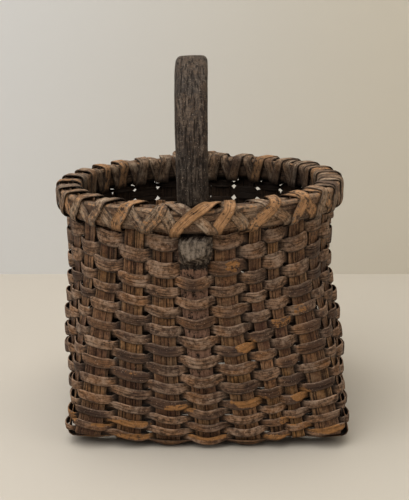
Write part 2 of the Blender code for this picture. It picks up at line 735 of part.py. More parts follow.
def make_lashing(name, direction, layer, material, parent):
    """One strip laced round the whole rim, in two lengths that meet inside a gap."""
    posts = lash_posts()
    count = len(posts)
    gaps = []
    for k, post in enumerate(posts):
        after = posts[(k + 1) % count]
        left = post[2]
        right = after[1] + (2 * math.pi if k + 1 == count else 0.0)
        room = (right - left) / 2 - 2 * CLEARANCE / RIM_RADIUS
        half = min(room, LASH_WIDTH / 2 / RIM_RADIUS)
        gaps.append(((left + right) / 2, half, post[3] or after[3]))
    per_piece = count // LASH_PIECES
    first = LASH_START_POST
    for piece in range(LASH_PIECES):
        rings = []
        for k in range(per_piece):
            at = first + direction * (piece * per_piece + k)
            turn = 2 * math.pi * (at // count)
            post = posts[at % count]
            post = (post[0] + turn, post[1], post[2], post[3])
            before_at, after_at = (at - 1, at) if direction > 0 else (at, at - 1)
            before, after = [
                (gaps[j % count][0] + 2 * math.pi * (j // count), *gaps[j % count][1:])
                for j in (before_at, after_at)
            ]
            side = 1 if k == 0 else 0
            rings += gap_sections(*before, layer, only_side=side)
            rings += lash_loop(post, before, after, direction, layer)
        rings += gap_sections(*after, layer, only_side=-1)
        builder = bmesh.new()
        add_strip(builder, rings)
        made = add_object(f"{name}_{piece + 1}", builder, material, parent)
        print(f"{made.name}: least gap to itself {least_gap_to_itself(rings) * 1000:.2f} mm")


def handle_ring(centre, side, out, inner, outer, half_width, chamfer):
    """Eight corners of the strap: inner and outer count outwards from the upright's middle."""
    corners = (
        (-half_width, inner + chamfer),
        (-half_width + chamfer, inner),
        (half_width - chamfer, inner),
        (half_width, inner + chamfer),
        (half_width, outer - chamfer),
        (half_width - chamfer, outer),
        (-half_width + chamfer, outer),
        (-half_width, outer - chamfer),
    )
    return [centre + side * across + out * through for across, through in corners]


def handle_end_rings(at):
    """Rings of one end of the handle, from the tip of its tail up to the top of the rim."""
    upright = UPRIGHTS[at]
    knob_end = KNOB_BOTTOMS[at]
    tail_heights = [TAIL_END_HEIGHT]
    knob_clear = knob_end - CLEARANCE
    tail_heights += [h for h in upright.heights if TAIL_END_HEIGHT < h < knob_clear - KNOB_CHAMFER]
    tail_heights.append(knob_clear)
    profile = []
    for height in tail_heights:
        profile.append((height, FACE_OF_STAKE, TAIL_OUTER, tail_half_width(height), TAIL_CHAMFER))
    knob_outer = KNOB_INNER + KNOB_THICKNESS
    foot = HANDLE_FOOT_WIDTH / 2
    neck_bottom = HOOP_BOTTOM
    profile += [
        (knob_end, KNOB_INNER, knob_outer - KNOB_CHAMFER, TAIL_WIDTH_AT_KNOB / 2, TAIL_CHAMFER),
        (knob_end + KNOB_CHAMFER, KNOB_INNER, knob_outer, KNOB_WIDTH / 2, HANDLE_CHAMFER),
        (KNOB_TOP - CLEARANCE, KNOB_INNER, knob_outer, KNOB_WIDTH / 2, HANDLE_CHAMFER),
        (KNOB_TOP, KNOB_INNER, NECK_OUTER, foot, TAIL_CHAMFER),
        (neck_bottom, FACE_OF_STAKE, NECK_OUTER, foot, TAIL_CHAMFER),
        (RIM_TOP + CLEARANCE, FACE_OF_STAKE, NECK_OUTER, foot, TAIL_CHAMFER),
        (RIM_TOP + 2 * CLEARANCE, FACE_OF_STAKE, HANDLE_OUTER, foot, HANDLE_CHAMFER),
    ]
    rings = []
    for height, inner, outer, half_width, chamfer in profile:
        centre, normal, side = upright.at(height)
        rings.append(handle_ring(centre, side, normal, inner, outer, half_width, chamfer))
    return rings


def arch_rings():
    """Rings of the bow of the handle, from the front of the rim over to the back."""
    spring = RIM_TOP + STAKE_STUB
    half_span = RIM_RADIUS * math.cos(ANGLES[0])
    rise = HANDLE_TOP - HANDLE_OUTER - spring
    power = 2 / ARCH_SQUARENESS_SHARE
    side = np.array((1.0, 0.0, 0.0))
    rings = []
    for k in range(ARCH_STEPS + 1):
        turn = math.pi * k / ARCH_STEPS
        cosine, sine = math.cos(turn), math.sin(turn)
        along = -math.copysign(abs(cosine) ** power, cosine) * half_span
        height = spring + rise * sine**power
        forward = -math.copysign(abs(cosine) ** (2 - power), cosine) / half_span
        slope = np.array((0.0, forward, sine ** (2 - power) / rise))
        out = slope / np.linalg.norm(slope)
        half_width = (HANDLE_FOOT_WIDTH * (1 - sine) + HANDLE_WIDTH * sine) / 2
        centre = np.array((0.0, along, height))
        ring = handle_ring(centre, side, out, FACE_OF_STAKE, HANDLE_OUTER, half_width, HANDLE_CHAMFER)
        rings.append(ring)
    return rings


def make_handle(material, parent):
    front = handle_end_rings(FRONT_MIDDLE)
    back = handle_end_rings(BACK_MIDDLE)
    # The back end's own sideways direction is the other way round.
    back = [[ring[k] for k in (3, 2, 1, 0, 7, 6, 5, 4)] for ring in back]
    builder = bmesh.new()
    add_strip(builder, front + arch_rings() + back[::-1])
    return add_object("handle", builder, material, parent)


def main():
    for old in list(bpy.data.objects):
        bpy.data.objects.remove(old, do_unlink=True)
    stake_wood = make_material("stake_wood", STAKE_COLOUR)
    weaver_wood = make_material("weaver_wood", WEAVER_COLOUR)
    hoop_wood = make_material("hoop_wood", HOOP_COLOUR)
    lash_wood = make_material("lash_wood", LASH_COLOUR)
    handle_wood = make_material("handle_wood", HANDLE_COLOUR)
    basket = bpy.data.objects.new("basket", None)
    bpy.context.collection.objects.link(basket)
    make_stakes(stake_wood, basket)
    make_weavers(weaver_wood, basket)
    make_hoop("hoop_inner", -1, STAKES_EACH_WAY + 3, hoop_wood, basket)
    make_hoop("hoop_outer", 1, 3 * STAKES_EACH_WAY, hoop_wood, basket)
    make_lashing("lashing_under", -1, 0, lash_wood, basket)
    make_lashing("lashing_over", 1, 1, lash_wood, basket)
    make_handle(handle_wood, basket)


main()
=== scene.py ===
import math

import bpy
import numpy as np
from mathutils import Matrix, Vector


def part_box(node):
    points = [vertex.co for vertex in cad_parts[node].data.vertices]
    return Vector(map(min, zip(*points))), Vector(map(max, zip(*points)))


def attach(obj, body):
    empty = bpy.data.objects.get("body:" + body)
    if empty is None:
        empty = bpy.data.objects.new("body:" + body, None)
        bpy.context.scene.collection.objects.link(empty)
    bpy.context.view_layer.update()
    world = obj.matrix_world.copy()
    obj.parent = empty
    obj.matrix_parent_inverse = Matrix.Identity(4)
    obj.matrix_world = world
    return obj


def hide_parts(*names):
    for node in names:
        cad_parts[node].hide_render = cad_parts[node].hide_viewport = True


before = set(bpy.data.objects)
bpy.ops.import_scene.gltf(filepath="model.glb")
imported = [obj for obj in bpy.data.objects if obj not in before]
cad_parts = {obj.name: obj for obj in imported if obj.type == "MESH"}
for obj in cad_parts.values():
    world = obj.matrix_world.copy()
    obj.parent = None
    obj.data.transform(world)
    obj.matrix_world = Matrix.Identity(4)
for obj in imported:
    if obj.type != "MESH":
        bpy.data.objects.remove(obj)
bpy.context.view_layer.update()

# Stakes: seven flat riven splints each way, of brown ash gone dark with age. They cross over
# and under each other as the base, bend up round its edge and stand as the uprights of the
# wall, with their tops pinched between the hoops. One of them is split at its front end.
STAKES_EACH_WAY = 7
REACH = STAKES_EACH_WAY // 2
BASE_HALF_WIDTH = 0.107
STAKE_PITCH = 2 * BASE_HALF_WIDTH / STAKES_EACH_WAY
STAKE_THICKNESS = 0.0012
STAKE_WIDTH_AT_BASE = 0.019
STAKE_WIDTH_AT_RIM = 0.0155
STAKE_STEP = 0.003
BEND_RADIUS = 0.004
BEND_STATIONS = 6
STUB_HEIGHT = 0.0008
STUB_UNEVENNESS = 0.0005
# One stake's top stands up as a narrow tongue: its upright, half width and sideways shift, and
# the heights over the rim at which it takes a share of that width.
TONGUE_UPRIGHT = 28
TONGUE_HALF_WIDTH = 0.0036
TONGUE_SHIFT = -0.0008
TONGUE_RISES = (0.0004, 0.0012, 0.0040, 0.0046)
TONGUE_SHARES = (1.0, 1.0, 1.0, 0.85)
SPLIT_STAKE_NUMBER = 2
SPLIT_HALF_WIDTH = 0.0095
SPLIT_ROOT_SLIT = 0.0006
SPLIT_SLIT_AT_BASE = 0.0061
SPLIT_PITCH_SHARE = 0.68
RIM_RADIUS = 0.1055
RIM_TOP = 0.188
HOOP_HEIGHT = 0.018
HOOP_BOTTOM = RIM_TOP - HOOP_HEIGHT
WAIST_DEPTH = 0.002
WALL_FOOT = 0.0061
ROUNDING_SHARE = 1.5
OFFSET_SHARE = 4
SWELL_DEPTH = 0.0068
SWELL_TOP = 0.125
SWELL_SHARE = 1.5
CORNER_LIFT = 0.008
LEAN = 0.0156
LEAN_HEIGHT = 0.120
TILT_SHARE = 0.0344
LOWEST_LEVEL = STAKE_THICKNESS / 2 + 0.0003
STAKE_LAYER = STAKE_THICKNESS + 0.0003
INNER_LIFT = 0.0018
EDGE_LIFT = 0.0036
# The outer stakes of the base loop outwards and curl up where they pass under the others.
LOOP_SLACK = 0.0015
LOOP_LEVEL = 0.001
LOOP_SHIFT = 0.0105
EDGE_SHIFT = 0.003
CURLED_WIDTH = 0.0092
CURL_RADIUS = 0.0068
UNEVEN_WIDTH = 0.04
UNEVEN_THICKNESS = 0.15
UNEVEN_TWIST = 0.04
# Painted shade: on a splint's side that faces into the basket, near the foot of the wall, and
# where the uprights' tops go between the hoops.
INWARD_SHADE = 0.88
END_SHADE = 0.3
FOOT_SHADE_HEIGHT = 0.016
RIM_SHADE_DEPTH = 0.01
FOOT_WEAR_HEIGHT = 0.02


def ramp(values, low, high):
    """0 at low and 1 at high, with an even rise between them. Low may be the greater one."""
    return np.clip((values - low) / (high - low), 0, 1)


def lean(points):
    """Leans and tilts the straight basket with height, and lifts the base's corners a little."""
    x, y, z = np.moveaxis(points, -1, 0)
    rise = np.clip(z, 0, None) / LEAN_HEIGHT
    share = rise**2 / (1 + rise**2)
    cornered = np.abs(x * y) / BASE_HALF_WIDTH**2
    lift = TILT_SHARE * x * share + CORNER_LIFT * cornered**2 * ramp(z, HOOP_BOTTOM, 0)
    return np.stack((x - LEAN * share, y, z + lift), axis=-1)


def around(angle, middle):
    """Signed angle from middle to angle, by the short way."""
    return (angle - middle + math.pi) % (2 * math.pi) - math.pi


def rim_angles():
    """Angle of each upright at the rim: equal spaces, but for the split pair."""
    steps = [1.0] * (4 * STAKES_EACH_WAY + 1)
    steps[SPLIT_STAKE_NUMBER] = SPLIT_PITCH_SHARE
    pitch = 2 * math.pi / sum(steps)
    first = -(pitch * sum(steps[: 2 * STAKES_EACH_WAY + 1]) - math.pi) / 2
    return [first + pitch * sum(steps[:k]) for k in range(len(steps))], pitch


ANGLES, RIM_PITCH = rim_angles()
RIM_OFFSET = -RIM_RADIUS * math.sin(ANGLES[0])


class Upright:
    """One upright of the wall, from the bend at its foot to the rim."""

    def __init__(self, angle, foot, normal, is_half):
        self.angle = angle
        self.foot = np.array(foot)
        self.foot_angle = math.atan2(normal[0], -normal[1])
        self.width_at_base = SPLIT_HALF_WIDTH if is_half else STAKE_WIDTH_AT_BASE
        self.width_at_rim = SPLIT_HALF_WIDTH if is_half else STAKE_WIDTH_AT_RIM

    def at(self, heights):
        """Centres, outward normals and sideways directions at several heights."""
        heights = np.atleast_1d(np.asarray(heights, dtype=float))
        share = ramp(heights, WALL_FOOT, HOOP_BOTTOM)
        rounding = (1 - (1 - share) ** ROUNDING_SHARE)[:, None]
        turned = self.foot_angle + around(self.angle, self.foot_angle) * share
        level = np.zeros_like(turned)
        normals = np.stack((np.sin(turned), -np.cos(turned), level), axis=1)
        radial = np.array((math.sin(self.angle), -math.cos(self.angle)))
        places = self.foot * (1 - rounding) + radial * RIM_RADIUS * rounding
        centres = np.column_stack((places, heights))
        centres -= normals * (WAIST_DEPTH * np.sin(math.pi * share))[:, None]
        centres[:, 0] += RIM_OFFSET * share**OFFSET_SHARE
        rise = ramp(heights, WALL_FOOT, SWELL_TOP)[:, None]
        outwards = centres[:, :2] / BASE_HALF_WIDTH
        swell = SWELL_DEPTH * np.sin(math.pi * rise) ** SWELL_SHARE
        centres[:, :2] += swell * outwards * (1 - outwards[:, ::-1] ** 2)
        return centres, normals, np.stack((-normals[:, 1], normals[:, 0], level), axis=1)

    def half_width(self, heights):
        share = ramp(heights, WALL_FOOT, HOOP_BOTTOM)
        return (self.width_at_base * (1 - share) + self.width_at_rim * share) / 2


def make_uprights():
    """All uprights in order, from the front one in the middle towards the right and round."""
    spread = (SPLIT_SLIT_AT_BASE + SPLIT_HALF_WIDTH) / 2
    places = []
    for out_x, out_y in ((0, -1), (1, 0), (0, 1), (-1, 0)):
        for own in range(-REACH, REACH + 1):
            is_split = out_y < 0 and own == SPLIT_STAKE_NUMBER
            for shift in (-spread, spread) if is_split else (0.0,):
                along = own * STAKE_PITCH + shift
                x = out_x * BASE_HALF_WIDTH - out_y * along
                y = out_y * BASE_HALF_WIDTH + out_x * along
                places.append(((x, y), (out_x, out_y), is_split))
    in_order = places[REACH:] + places[:REACH]
    return [Upright(angle, *place) for angle, place in zip(ANGLES, in_order)]


UPRIGHTS = make_uprights()
COUNT = len(UPRIGHTS)
FRONT_MIDDLE = 0
BACK_MIDDLE = 2 * STAKES_EACH_WAY + 1
HANDLE_UPRIGHTS = (FRONT_MIDDLE, BACK_MIDDLE)

# A splint's section, in shares of its half width and half thickness: flat faces, eased edges.
OUTLINE_FLAT_SHARE = 0.9
OUTLINE_FLAT_POINTS = 9
OUTLINE_EDGE = ((0.97, 0.75), (1.0, 0.0), (0.97, -0.75))
# Where across a splint the edge mark starts and where it is full; the edge mark paints a highlight
# along the edges.
EDGE_MARK_FROM = 0.55
EDGE_MARK_FULL = 0.97


def splint_outline():
    flat = np.linspace(-OUTLINE_FLAT_SHARE, OUTLINE_FLAT_SHARE, OUTLINE_FLAT_POINTS)
    half = [(across, 1.0) for across in flat] + list(OUTLINE_EDGE)
    return np.array(half + [(-across, -through) for across, through in half])


SPLINT_OUTLINE = splint_outline()


def unit(vectors):
    return vectors / np.linalg.norm(vectors, axis=-1, keepdims=True)


def smooth(values, reach):
    """Evens out a row of values over a number of neighbours each way, with its ends kept."""
    values = np.asarray(values, dtype=float)
    kernel = np.hanning(2 * reach + 3)[1:-1]
    kernel /= kernel.sum()
    padding = [(reach, reach)] + [(0, 0)] * (values.ndim - 1)
    padded = np.pad(values, padding, mode="edge").reshape(len(values) + 2 * reach, -1)
    rows = [np.convolve(column, kernel, mode="valid") for column in padded.T]
    return np.array(rows).T.reshape(values.shape)


def wander(seed, count, reach):
    """A smooth random row between about -1 and 1, the same on each run."""
    rough = np.random.default_rng(seed).uniform(-1, 1, count + 2 * reach)
    return smooth(rough, reach)[reach : reach + count] * math.sqrt(reach + 1)


def drifting(middle, spread, seed, count, reach):
    """A mark that drifts about its middle value along a strip, kept between 0 and 1."""
    return np.clip(middle + spread * wander(seed, count, reach)[:, None], 0, 1)


def linked(name, data):
    made = bpy.data.objects.new(name, data)
    bpy.context.scene.collection.objects.link(made)
    return made


def add_strip(name, rings, widths, start, marks):
    """Skins rings of points into one closed piece, with the grain's coordinates along it."""
    count, corners, _ = rings.shape
    lengths = np.linalg.norm(np.diff(rings.mean(axis=1), axis=0), axis=1)
    along = start + np.concatenate(((0.0,), np.cumsum(lengths)))
    corner = np.arange(corners)
    near = np.arange(count - 1)[:, None] * corners + corner
    after = near - corner + (corner + 1) % corners
    quads = np.stack((near, after, after + corners, near + corners), axis=2).reshape(-1, 4)
    points = lean(rings.reshape(-1, 3))
    a, b, c, d = (points[quads[:, k]] for k in range(4))
    volume = np.einsum("ij,ij->", a, np.cross(b, c) + np.cross(c, d))
    faces = quads.tolist() + [corner[::-1].tolist(), ((count - 1) * corners + corner).tolist()]
    if volume < 0:
        faces = [face[::-1] for face in faces]
    mesh = bpy.data.meshes.new(name)
    mesh.from_pydata(points.tolist(), [], faces)
    mesh.shade_smooth()
    grain = np.stack((widths, np.repeat(along[:, None], corners, axis=1)), axis=2).reshape(-1, 2)
    vertex_of_loop = np.zeros(len(mesh.loops), dtype=np.int32)
    mesh.loops.foreach_get("vertex_index", vertex_of_loop)
    layer = mesh.uv_layers.new(name="grain")
    layer.data.foreach_set("uv", grain[vertex_of_loop].astype(np.float32).ravel())
    for mark, values in marks.items():
        attribute = mesh.attributes.new(mark, "FLOAT", "POINT")
        spread = np.broadcast_to(values, (count, corners)).astype(np.float32)
        attribute.data.foreach_set("value", spread.ravel())
    return linked(name, mesh)


def splint_rings(centres, sides, outs, half_widths, half_thicks, crown=0.0, curls=None):
    """Rings of a strip with eased edges, domed by its crown, and with one edge curled up."""
    across, through = SPLINT_OUTLINE.T
    half_widths = np.broadcast_to(half_widths, len(centres))[:, None]
    half_thicks = np.broadcast_to(half_thicks, len(centres))[:, None]
    widths = half_widths * across
    depths = half_thicks * through + crown * (1 - across**2)
    grain_widths = widths
    if curls is not None and np.any(curls):
        hand = np.sign(np.sum(curls))
        bend = np.maximum(np.abs(curls), 0.001)[:, None] / CURL_RADIUS
        flat = half_widths - CURLED_WIDTH
        turn = np.maximum(widths * hand - flat, 0) * bend
        curled = hand * (flat + np.sin(turn) / bend + depths * np.sin(turn))
        widths = np.where(turn > 0, curled, widths)
        depths = depths * np.cos(turn) - (1 - np.cos(turn)) / bend
    rings = centres[:, None] + sides[:, None] * widths[..., None]
    return rings + outs[:, None] * depths[..., None], grain_widths


def edge_and_inner_marks():
    """Marks round a splint: its edges, for a painted highlight, and its side that faces into the
    basket, for painted shade.
    """
    across, through = SPLINT_OUTLINE.T
    return ramp(np.abs(across), EDGE_MARK_FROM, EDGE_MARK_FULL) ** 1.5, (through < 0) * 1.0


def dress(piece, node, material):
    """Puts a piece in the place of its CAD node."""
    piece.data.materials.append(material)
    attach(piece, "root")
    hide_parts(node)


def scaled(colour, share):
    return [channel * share for channel in colour]


class Tone:
    """A value on its way through a shader. Arithmetic on it adds Math nodes."""

    def __init__(self, tree, socket=None):
        self.tree = tree
        self.socket = socket

    def node(self, kind, inputs=None, output=0, **settings):
        made = self.tree.nodes.new(kind)
        for name, value in settings.items():
            setattr(made, name, value)
        for name, value in (inputs or {}).items():
            if isinstance(value, Tone):
                value.feeds(made.inputs[name])
            else:
                made.inputs[name].default_value = value
        return Tone(self.tree, made.outputs[output])

    def feeds(self, socket):
        self.tree.links.new(self.socket, socket)

    def maths(self, operation, first, second, is_clamped=False):
        inputs = {0: first, 1: second}
        return self.node("ShaderNodeMath", inputs, operation=operation, use_clamp=is_clamped)

    def __add__(self, other):
        return self.maths("ADD", self, other)

    __radd__ = __add__

    def __sub__(self, other):
        return self.maths("SUBTRACT", self, other)

    def __rsub__(self, other):
        return self.maths("SUBTRACT", other, self)

    def __mul__(self, other):
        return self.maths("MULTIPLY", self, other)

    __rmul__ = __mul__

    def held(self):
        """The same value, kept between 0 and 1."""
        return self.maths("ADD", self, 0.0, is_clamped=True)

    def between(self, low, high):
        """0 below low and 1 above high, with a soft rise from one to the other."""
        inputs = {"Value": self, "From Min": low, "From Max": high}
        return self.node("ShaderNodeMapRange", inputs, interpolation_type="SMOOTHSTEP")

    def mixed(self, first, second):
        """A colour between two colours, by this share of the second."""
        # A Mix node's colour sockets share their names with others, so they go by number.
        inputs = {0: self}
        for number, colour in ((6, first), (7, second)):
            inputs[number] = colour if isinstance(colour, Tone) else (*colour, 1.0)
        return self.node("ShaderNodeMix", inputs, output=2, data_type="RGBA")

    def shading(self, colour, dark, light):
        """A colour from its darker to its lighter self, by this share of the lighter."""
        return self.mixed(scaled(colour, dark), scaled(colour, light))

    def mark(self, name):
        return self.node("ShaderNodeAttribute", output=2, attribute_name=name)

    def stretched(self, across, along, shift=0.0):
        inputs = {"Vector": self, "Location": (shift, shift, shift), "Scale": (across, along, 1.0)}
        return self.node("ShaderNodeMapping", inputs)

    def speckle(self, scale, detail=3.0, roughness=0.55):
        """Cloudy noise between 0 and 1 over these coordinates."""
        inputs = {"Vector": self, "Scale": scale, "Detail": detail, "Roughness": roughness}
        return self.node("ShaderNodeTexNoise", inputs)


def new_material(name):
    """A material, its shader, and the place in the basket that its pattern starts from."""
    material = bpy.data.materials.new(name)
    material.use_nodes = True
    place = Tone(material.node_tree).node("ShaderNodeTexCoord", output=3)
    return material, material.node_tree.nodes["Principled BSDF"], place


# Sizes of the wood's speckles in cells per metre, and how deep and how glossy its surface is.
MOTTLE_SCALE = 330.0
CLOUD_SCALE = 42.0
GRIT_SCALE = 900.0
BLOTCH_SCALES = (130.0, 75.0)
BUMP_DEPTH = 0.0005
GLOSS = 0.2
# Near black, for the dark grain lines and for painted shade.
GRAIN_AND_SHADE_BLACK = (0.01, 0.0058, 0.0034)


def aged_wood(
    name, base, deep, bloom, warm, rubbed, lines, run, line_depth, bump, blotch=BLOTCH_SCALES
):
    """Old splint wood: dark lines along the grain, grey bloom, rubbed patches, a painted highlight
    along its edges, and painted shade.
    """
    material, shader, place = new_material(name)
    grain = place.node("ShaderNodeUVMap", uv_map="grain")
    fibres = grain.stretched(lines, run).speckle(1.0)
    fine = grain.stretched(lines * 2.0, run * 7.0, shift=7.0).speckle(1.0, detail=2.0)
    blotches = grain.stretched(*blotch, shift=3.0).speckle(1.0, detail=4.0)
    mottle = place.speckle(MOTTLE_SCALE, roughness=0.65)
    clouds = place.speckle(CLOUD_SCALE)
    grit = place.speckle(GRIT_SCALE, detail=1.0)
    tone = place.mark("tone")
    lined = 1 - fibres.between(0.37, 0.5)
    rough = (mottle * 0.55 + fine * 0.45).between(0.36, 0.64)
    colour = rough.shading(base, 0.22, 1.75)
    warmed = (place.mark("warm") * 1.1 + mottle * 0.5 + blotches * 0.6 - 0.75).held()
    colour = (warmed * 0.85).mixed(colour, rough.shading(warm, 0.5, 1.35))
    colour = (clouds.between(0.42, 0.62) * 0.7).mixed(colour, deep)
    greyed = (blotches * 0.6 + mottle * 0.5).between(0.48, 0.7) * (fine * 1.2 + 0.1)
    colour = (greyed * (tone * 1.1 + 0.1)).held().mixed(colour, bloom)
    colour = ((0.5 - tone) * 1.5).held().mixed(colour, scaled(deep, 0.8))
    colour = (lined * line_depth).mixed(colour, GRAIN_AND_SHADE_BLACK)
    bare = ((tone - 1.1) * (rough * 0.8 + 0.4)).held()
    colour = bare.mixed(colour, scaled(bloom, 1.1))
    # Painted highlight along edges and ridges, where the edge mark is high.
    edge = place.mark("edge") * (mottle * 1.6 + fine - 0.85).held()
    colour = (edge * 0.7).mixed(colour, scaled(bloom, 1.35))
    rubbed_grain = (fibres.between(0.3, 0.6) * 0.4 + rough * 0.6).shading(rubbed, 0.4, 1.15)
    ragged = place.mark("worn") * 1.35 + mottle * 2.4 + fine * 0.7 - 2.2
    colour = ragged.between(0.0, 0.25).mixed(colour, rubbed_grain)
    colour = (grit.between(0.65, 0.74) * 0.4).mixed(colour, scaled(bloom, 1.6))
    # Painted shade: the shade mark darkens the colour towards black.
    place.mark("painted_shade").mixed(colour, GRAIN_AND_SHADE_BLACK).feeds(shader.inputs["Base Color"])
    roughness = (0.34 + fine * 0.3 + mottle * 0.3 + lined * 0.25).held()
    roughness.feeds(shader.inputs["Roughness"])
    shader.inputs["Specular IOR Level"].default_value = GLOSS
    height = fine * 0.5 + mottle * 0.8 - lined * 1.1
    bumps = {"Strength": bump, "Distance": BUMP_DEPTH, "Height": height}
    place.node("ShaderNodeBump", bumps).feeds(shader.inputs["Normal"])
    return material


STAKE_WOOD = aged_wood(
    "stake_wood",
    base=(0.185, 0.087, 0.04), deep=(0.075, 0.032, 0.02), bloom=(0.22, 0.14, 0.08),
    warm=(0.28, 0.135, 0.038), rubbed=(0.36, 0.165, 0.05),
    lines=780.0, run=11.0, line_depth=0.85, bump=0.9,
)


def crossing_level(own, crossed, is_front_to_back):
    """Height of a stake's middle where it crosses another in the base."""
    is_low = (own + crossed) % 2 == 1
    if not is_front_to_back:
        is_low = not is_low
    own_is_outer = abs(own) == REACH
    crossed_is_outer = abs(crossed) == REACH
    if own_is_outer if is_low else crossed_is_outer:
        return LOWEST_LEVEL if is_low else LOWEST_LEVEL + STAKE_LAYER + LOOP_SLACK
    lift = EDGE_LIFT if own_is_outer or crossed_is_outer else INNER_LIFT
    return LOWEST_LEVEL + lift + (0.0 if is_low else STAKE_LAYER)


def stub_of(at):
    """How far an upright's top stands over the rim."""
    if at == TONGUE_UPRIGHT:
        return 0.0
    return STUB_HEIGHT + STUB_UNEVENNESS * float(wander(900 + at, 3, 1)[1])


def directions(is_front_to_back):
    """The way a stake runs through the base, and the way across it."""
    x, y, _ = np.eye(3)
    return (y, x) if is_front_to_back else (x, y)


def end_to_end(*parts):
    """Joins parts of a stake: centres, outward and sideways directions, half widths, curls."""
    return [np.concatenate(rows) for rows in zip(*parts)]


def stake_end(run, across, shift, end, level, at, side_sign):
    """One end of a stake, as for end_to_end: round the bend and up to the rim."""
    upright = UPRIGHTS[at]
    turns = np.linspace(0, math.pi / 2, BEND_STATIONS + 1)[:-1]
    out = BASE_HALF_WIDTH - BEND_RADIUS + BEND_RADIUS * np.sin(turns)
    rise = level + BEND_RADIUS * (1 - np.cos(turns))
    up = np.array((0.0, 0.0, 1.0))
    bend = run * end * out[:, None] + across * shift + up * rise[:, None]
    bend_outs = run * end * np.sin(turns)[:, None] - up * np.cos(turns)[:, None]
    foot = level + BEND_RADIUS
    top = RIM_TOP + stub_of(at)
    heights = np.linspace(foot, top, int((top - foot) / STAKE_STEP))
    bend_halves = np.full(len(turns), upright.half_width(foot))
    parts = [(bend, bend_outs, np.tile(across, (len(turns), 1)), bend_halves, 0 * turns)]
    wall, outs, sides = upright.at(heights)
    parts.append((wall, outs, sides * side_sign, upright.half_width(heights), 0 * heights))
    if at == TONGUE_UPRIGHT:
        tips, outs, sides = upright.at(RIM_TOP + np.array(TONGUE_RISES))
        halves = np.array(TONGUE_SHARES) * TONGUE_HALF_WIDTH
        parts.append((tips + sides * TONGUE_SHIFT, outs, sides * side_sign, halves, 0 * halves))
    return end_to_end(*parts)


def stake_base(run, across, own, is_front_to_back):
    """The flat part of a stake, waving over and under the stakes that it crosses."""
    crossings = np.arange(-REACH, REACH + 1)
    levels = np.array([crossing_level(own, crossed, is_front_to_back) for crossed in crossings])
    inner = BASE_HALF_WIDTH - BEND_RADIUS - STAKE_STEP
    places = np.linspace(-inner, inner, int(2 * inner / STAKE_STEP))
    plateau = STAKE_WIDTH_AT_BASE / 4
    knots = (crossings[:, None] * STAKE_PITCH + (-plateau, plateau)).ravel()
    centres = run * places[:, None] + across * own * STAKE_PITCH
    centres[:, 2] += smooth(np.interp(places, knots, np.repeat(levels, 2)), 2)
    curls = np.zeros(len(places))
    if abs(own) == REACH:
        hand = math.copysign(1, own)
        looped = smooth(np.interp(places, knots, np.repeat(levels < LOOP_LEVEL, 2)), 3)
        inside_ends = np.clip((BASE_HALF_WIDTH - np.abs(places)) / STAKE_PITCH - 0.2, 0, 1)
        shift = (EDGE_SHIFT + (LOOP_SHIFT - EDGE_SHIFT) * looped) * inside_ends
        centres += across * (hand * shift)[:, None]
        curls = hand * looped * inside_ends
    outs = np.tile((0.0, 0.0, -1.0), (len(places), 1))
    sides = np.tile(across, (len(places), 1))
    return centres, outs, sides, np.full(len(places), STAKE_WIDTH_AT_BASE / 2), curls


def add_stake(name, parts, seed):
    """Joins the parts of a stake end to end and skins them, with hand riven edges."""
    centres, outs, sides, widths, curls = end_to_end(*parts)
    count = len(centres)
    widths = widths * (1 + UNEVEN_WIDTH * wander(seed, count, 4))
    thicks = STAKE_THICKNESS / 2 * (1 + UNEVEN_THICKNESS * wander(seed + 1, count, 5))
    sides = unit(sides + outs * UNEVEN_TWIST * wander(seed + 2, count, 6)[:, None])
    rings, grain_widths = splint_rings(centres, sides, outs, widths, thicks, curls=curls)
    edge, inner = edge_and_inner_marks()
    heights = rings[..., 2]
    foot_shade = ramp(heights, FOOT_SHADE_HEIGHT, 0)
    rim_shade = ramp(heights, HOOP_BOTTOM, HOOP_BOTTOM + RIM_SHADE_DEPTH)
    marks = {
        # Painted shade on the inner side, near the foot and between the hoops.
        "painted_shade": np.clip(END_SHADE * (foot_shade + rim_shade) + INWARD_SHADE * inner, 0, 1),
        "worn": 0.35 * ramp(heights, FOOT_WEAR_HEIGHT, 0),
        # Painted highlight along the edges.
        "edge": edge * 0.6,
        "tone": drifting(0.3 + 1.2 * heights, 0.5, seed + 3, count, 9),
        "warm": drifting(0.4, 0.6, seed + 4, count, 9),
    }
    return add_strip(name, rings, grain_widths, 1.7 * seed, marks)


def upended(part):
    return [rows[::-1] for rows in part]


def whole_stake(own, is_front_to_back):
    """A stake from the top of one upright across the base to the top of the other."""
    run, across = directions(is_front_to_back)
    split_extra = 1
    if is_front_to_back:
        near_at = (own if own < SPLIT_STAKE_NUMBER else own + split_extra) % COUNT
        far_at = BACK_MIDDLE - own
    else:
        near_at = 3 * STAKES_EACH_WAY + split_extra - own
        far_at = STAKES_EACH_WAY + split_extra + own
    sign = 1 if is_front_to_back else -1
    ends = []
    for end, at, side_sign in ((-1, near_at, sign), (1, far_at, -sign)):
        level = crossing_level(own, end * REACH, is_front_to_back)
        ends.append(stake_end(run, across, own * STAKE_PITCH, end, level, at, side_sign))
    return upended(ends[0]), stake_base(run, across, own, is_front_to_back), ends[1]


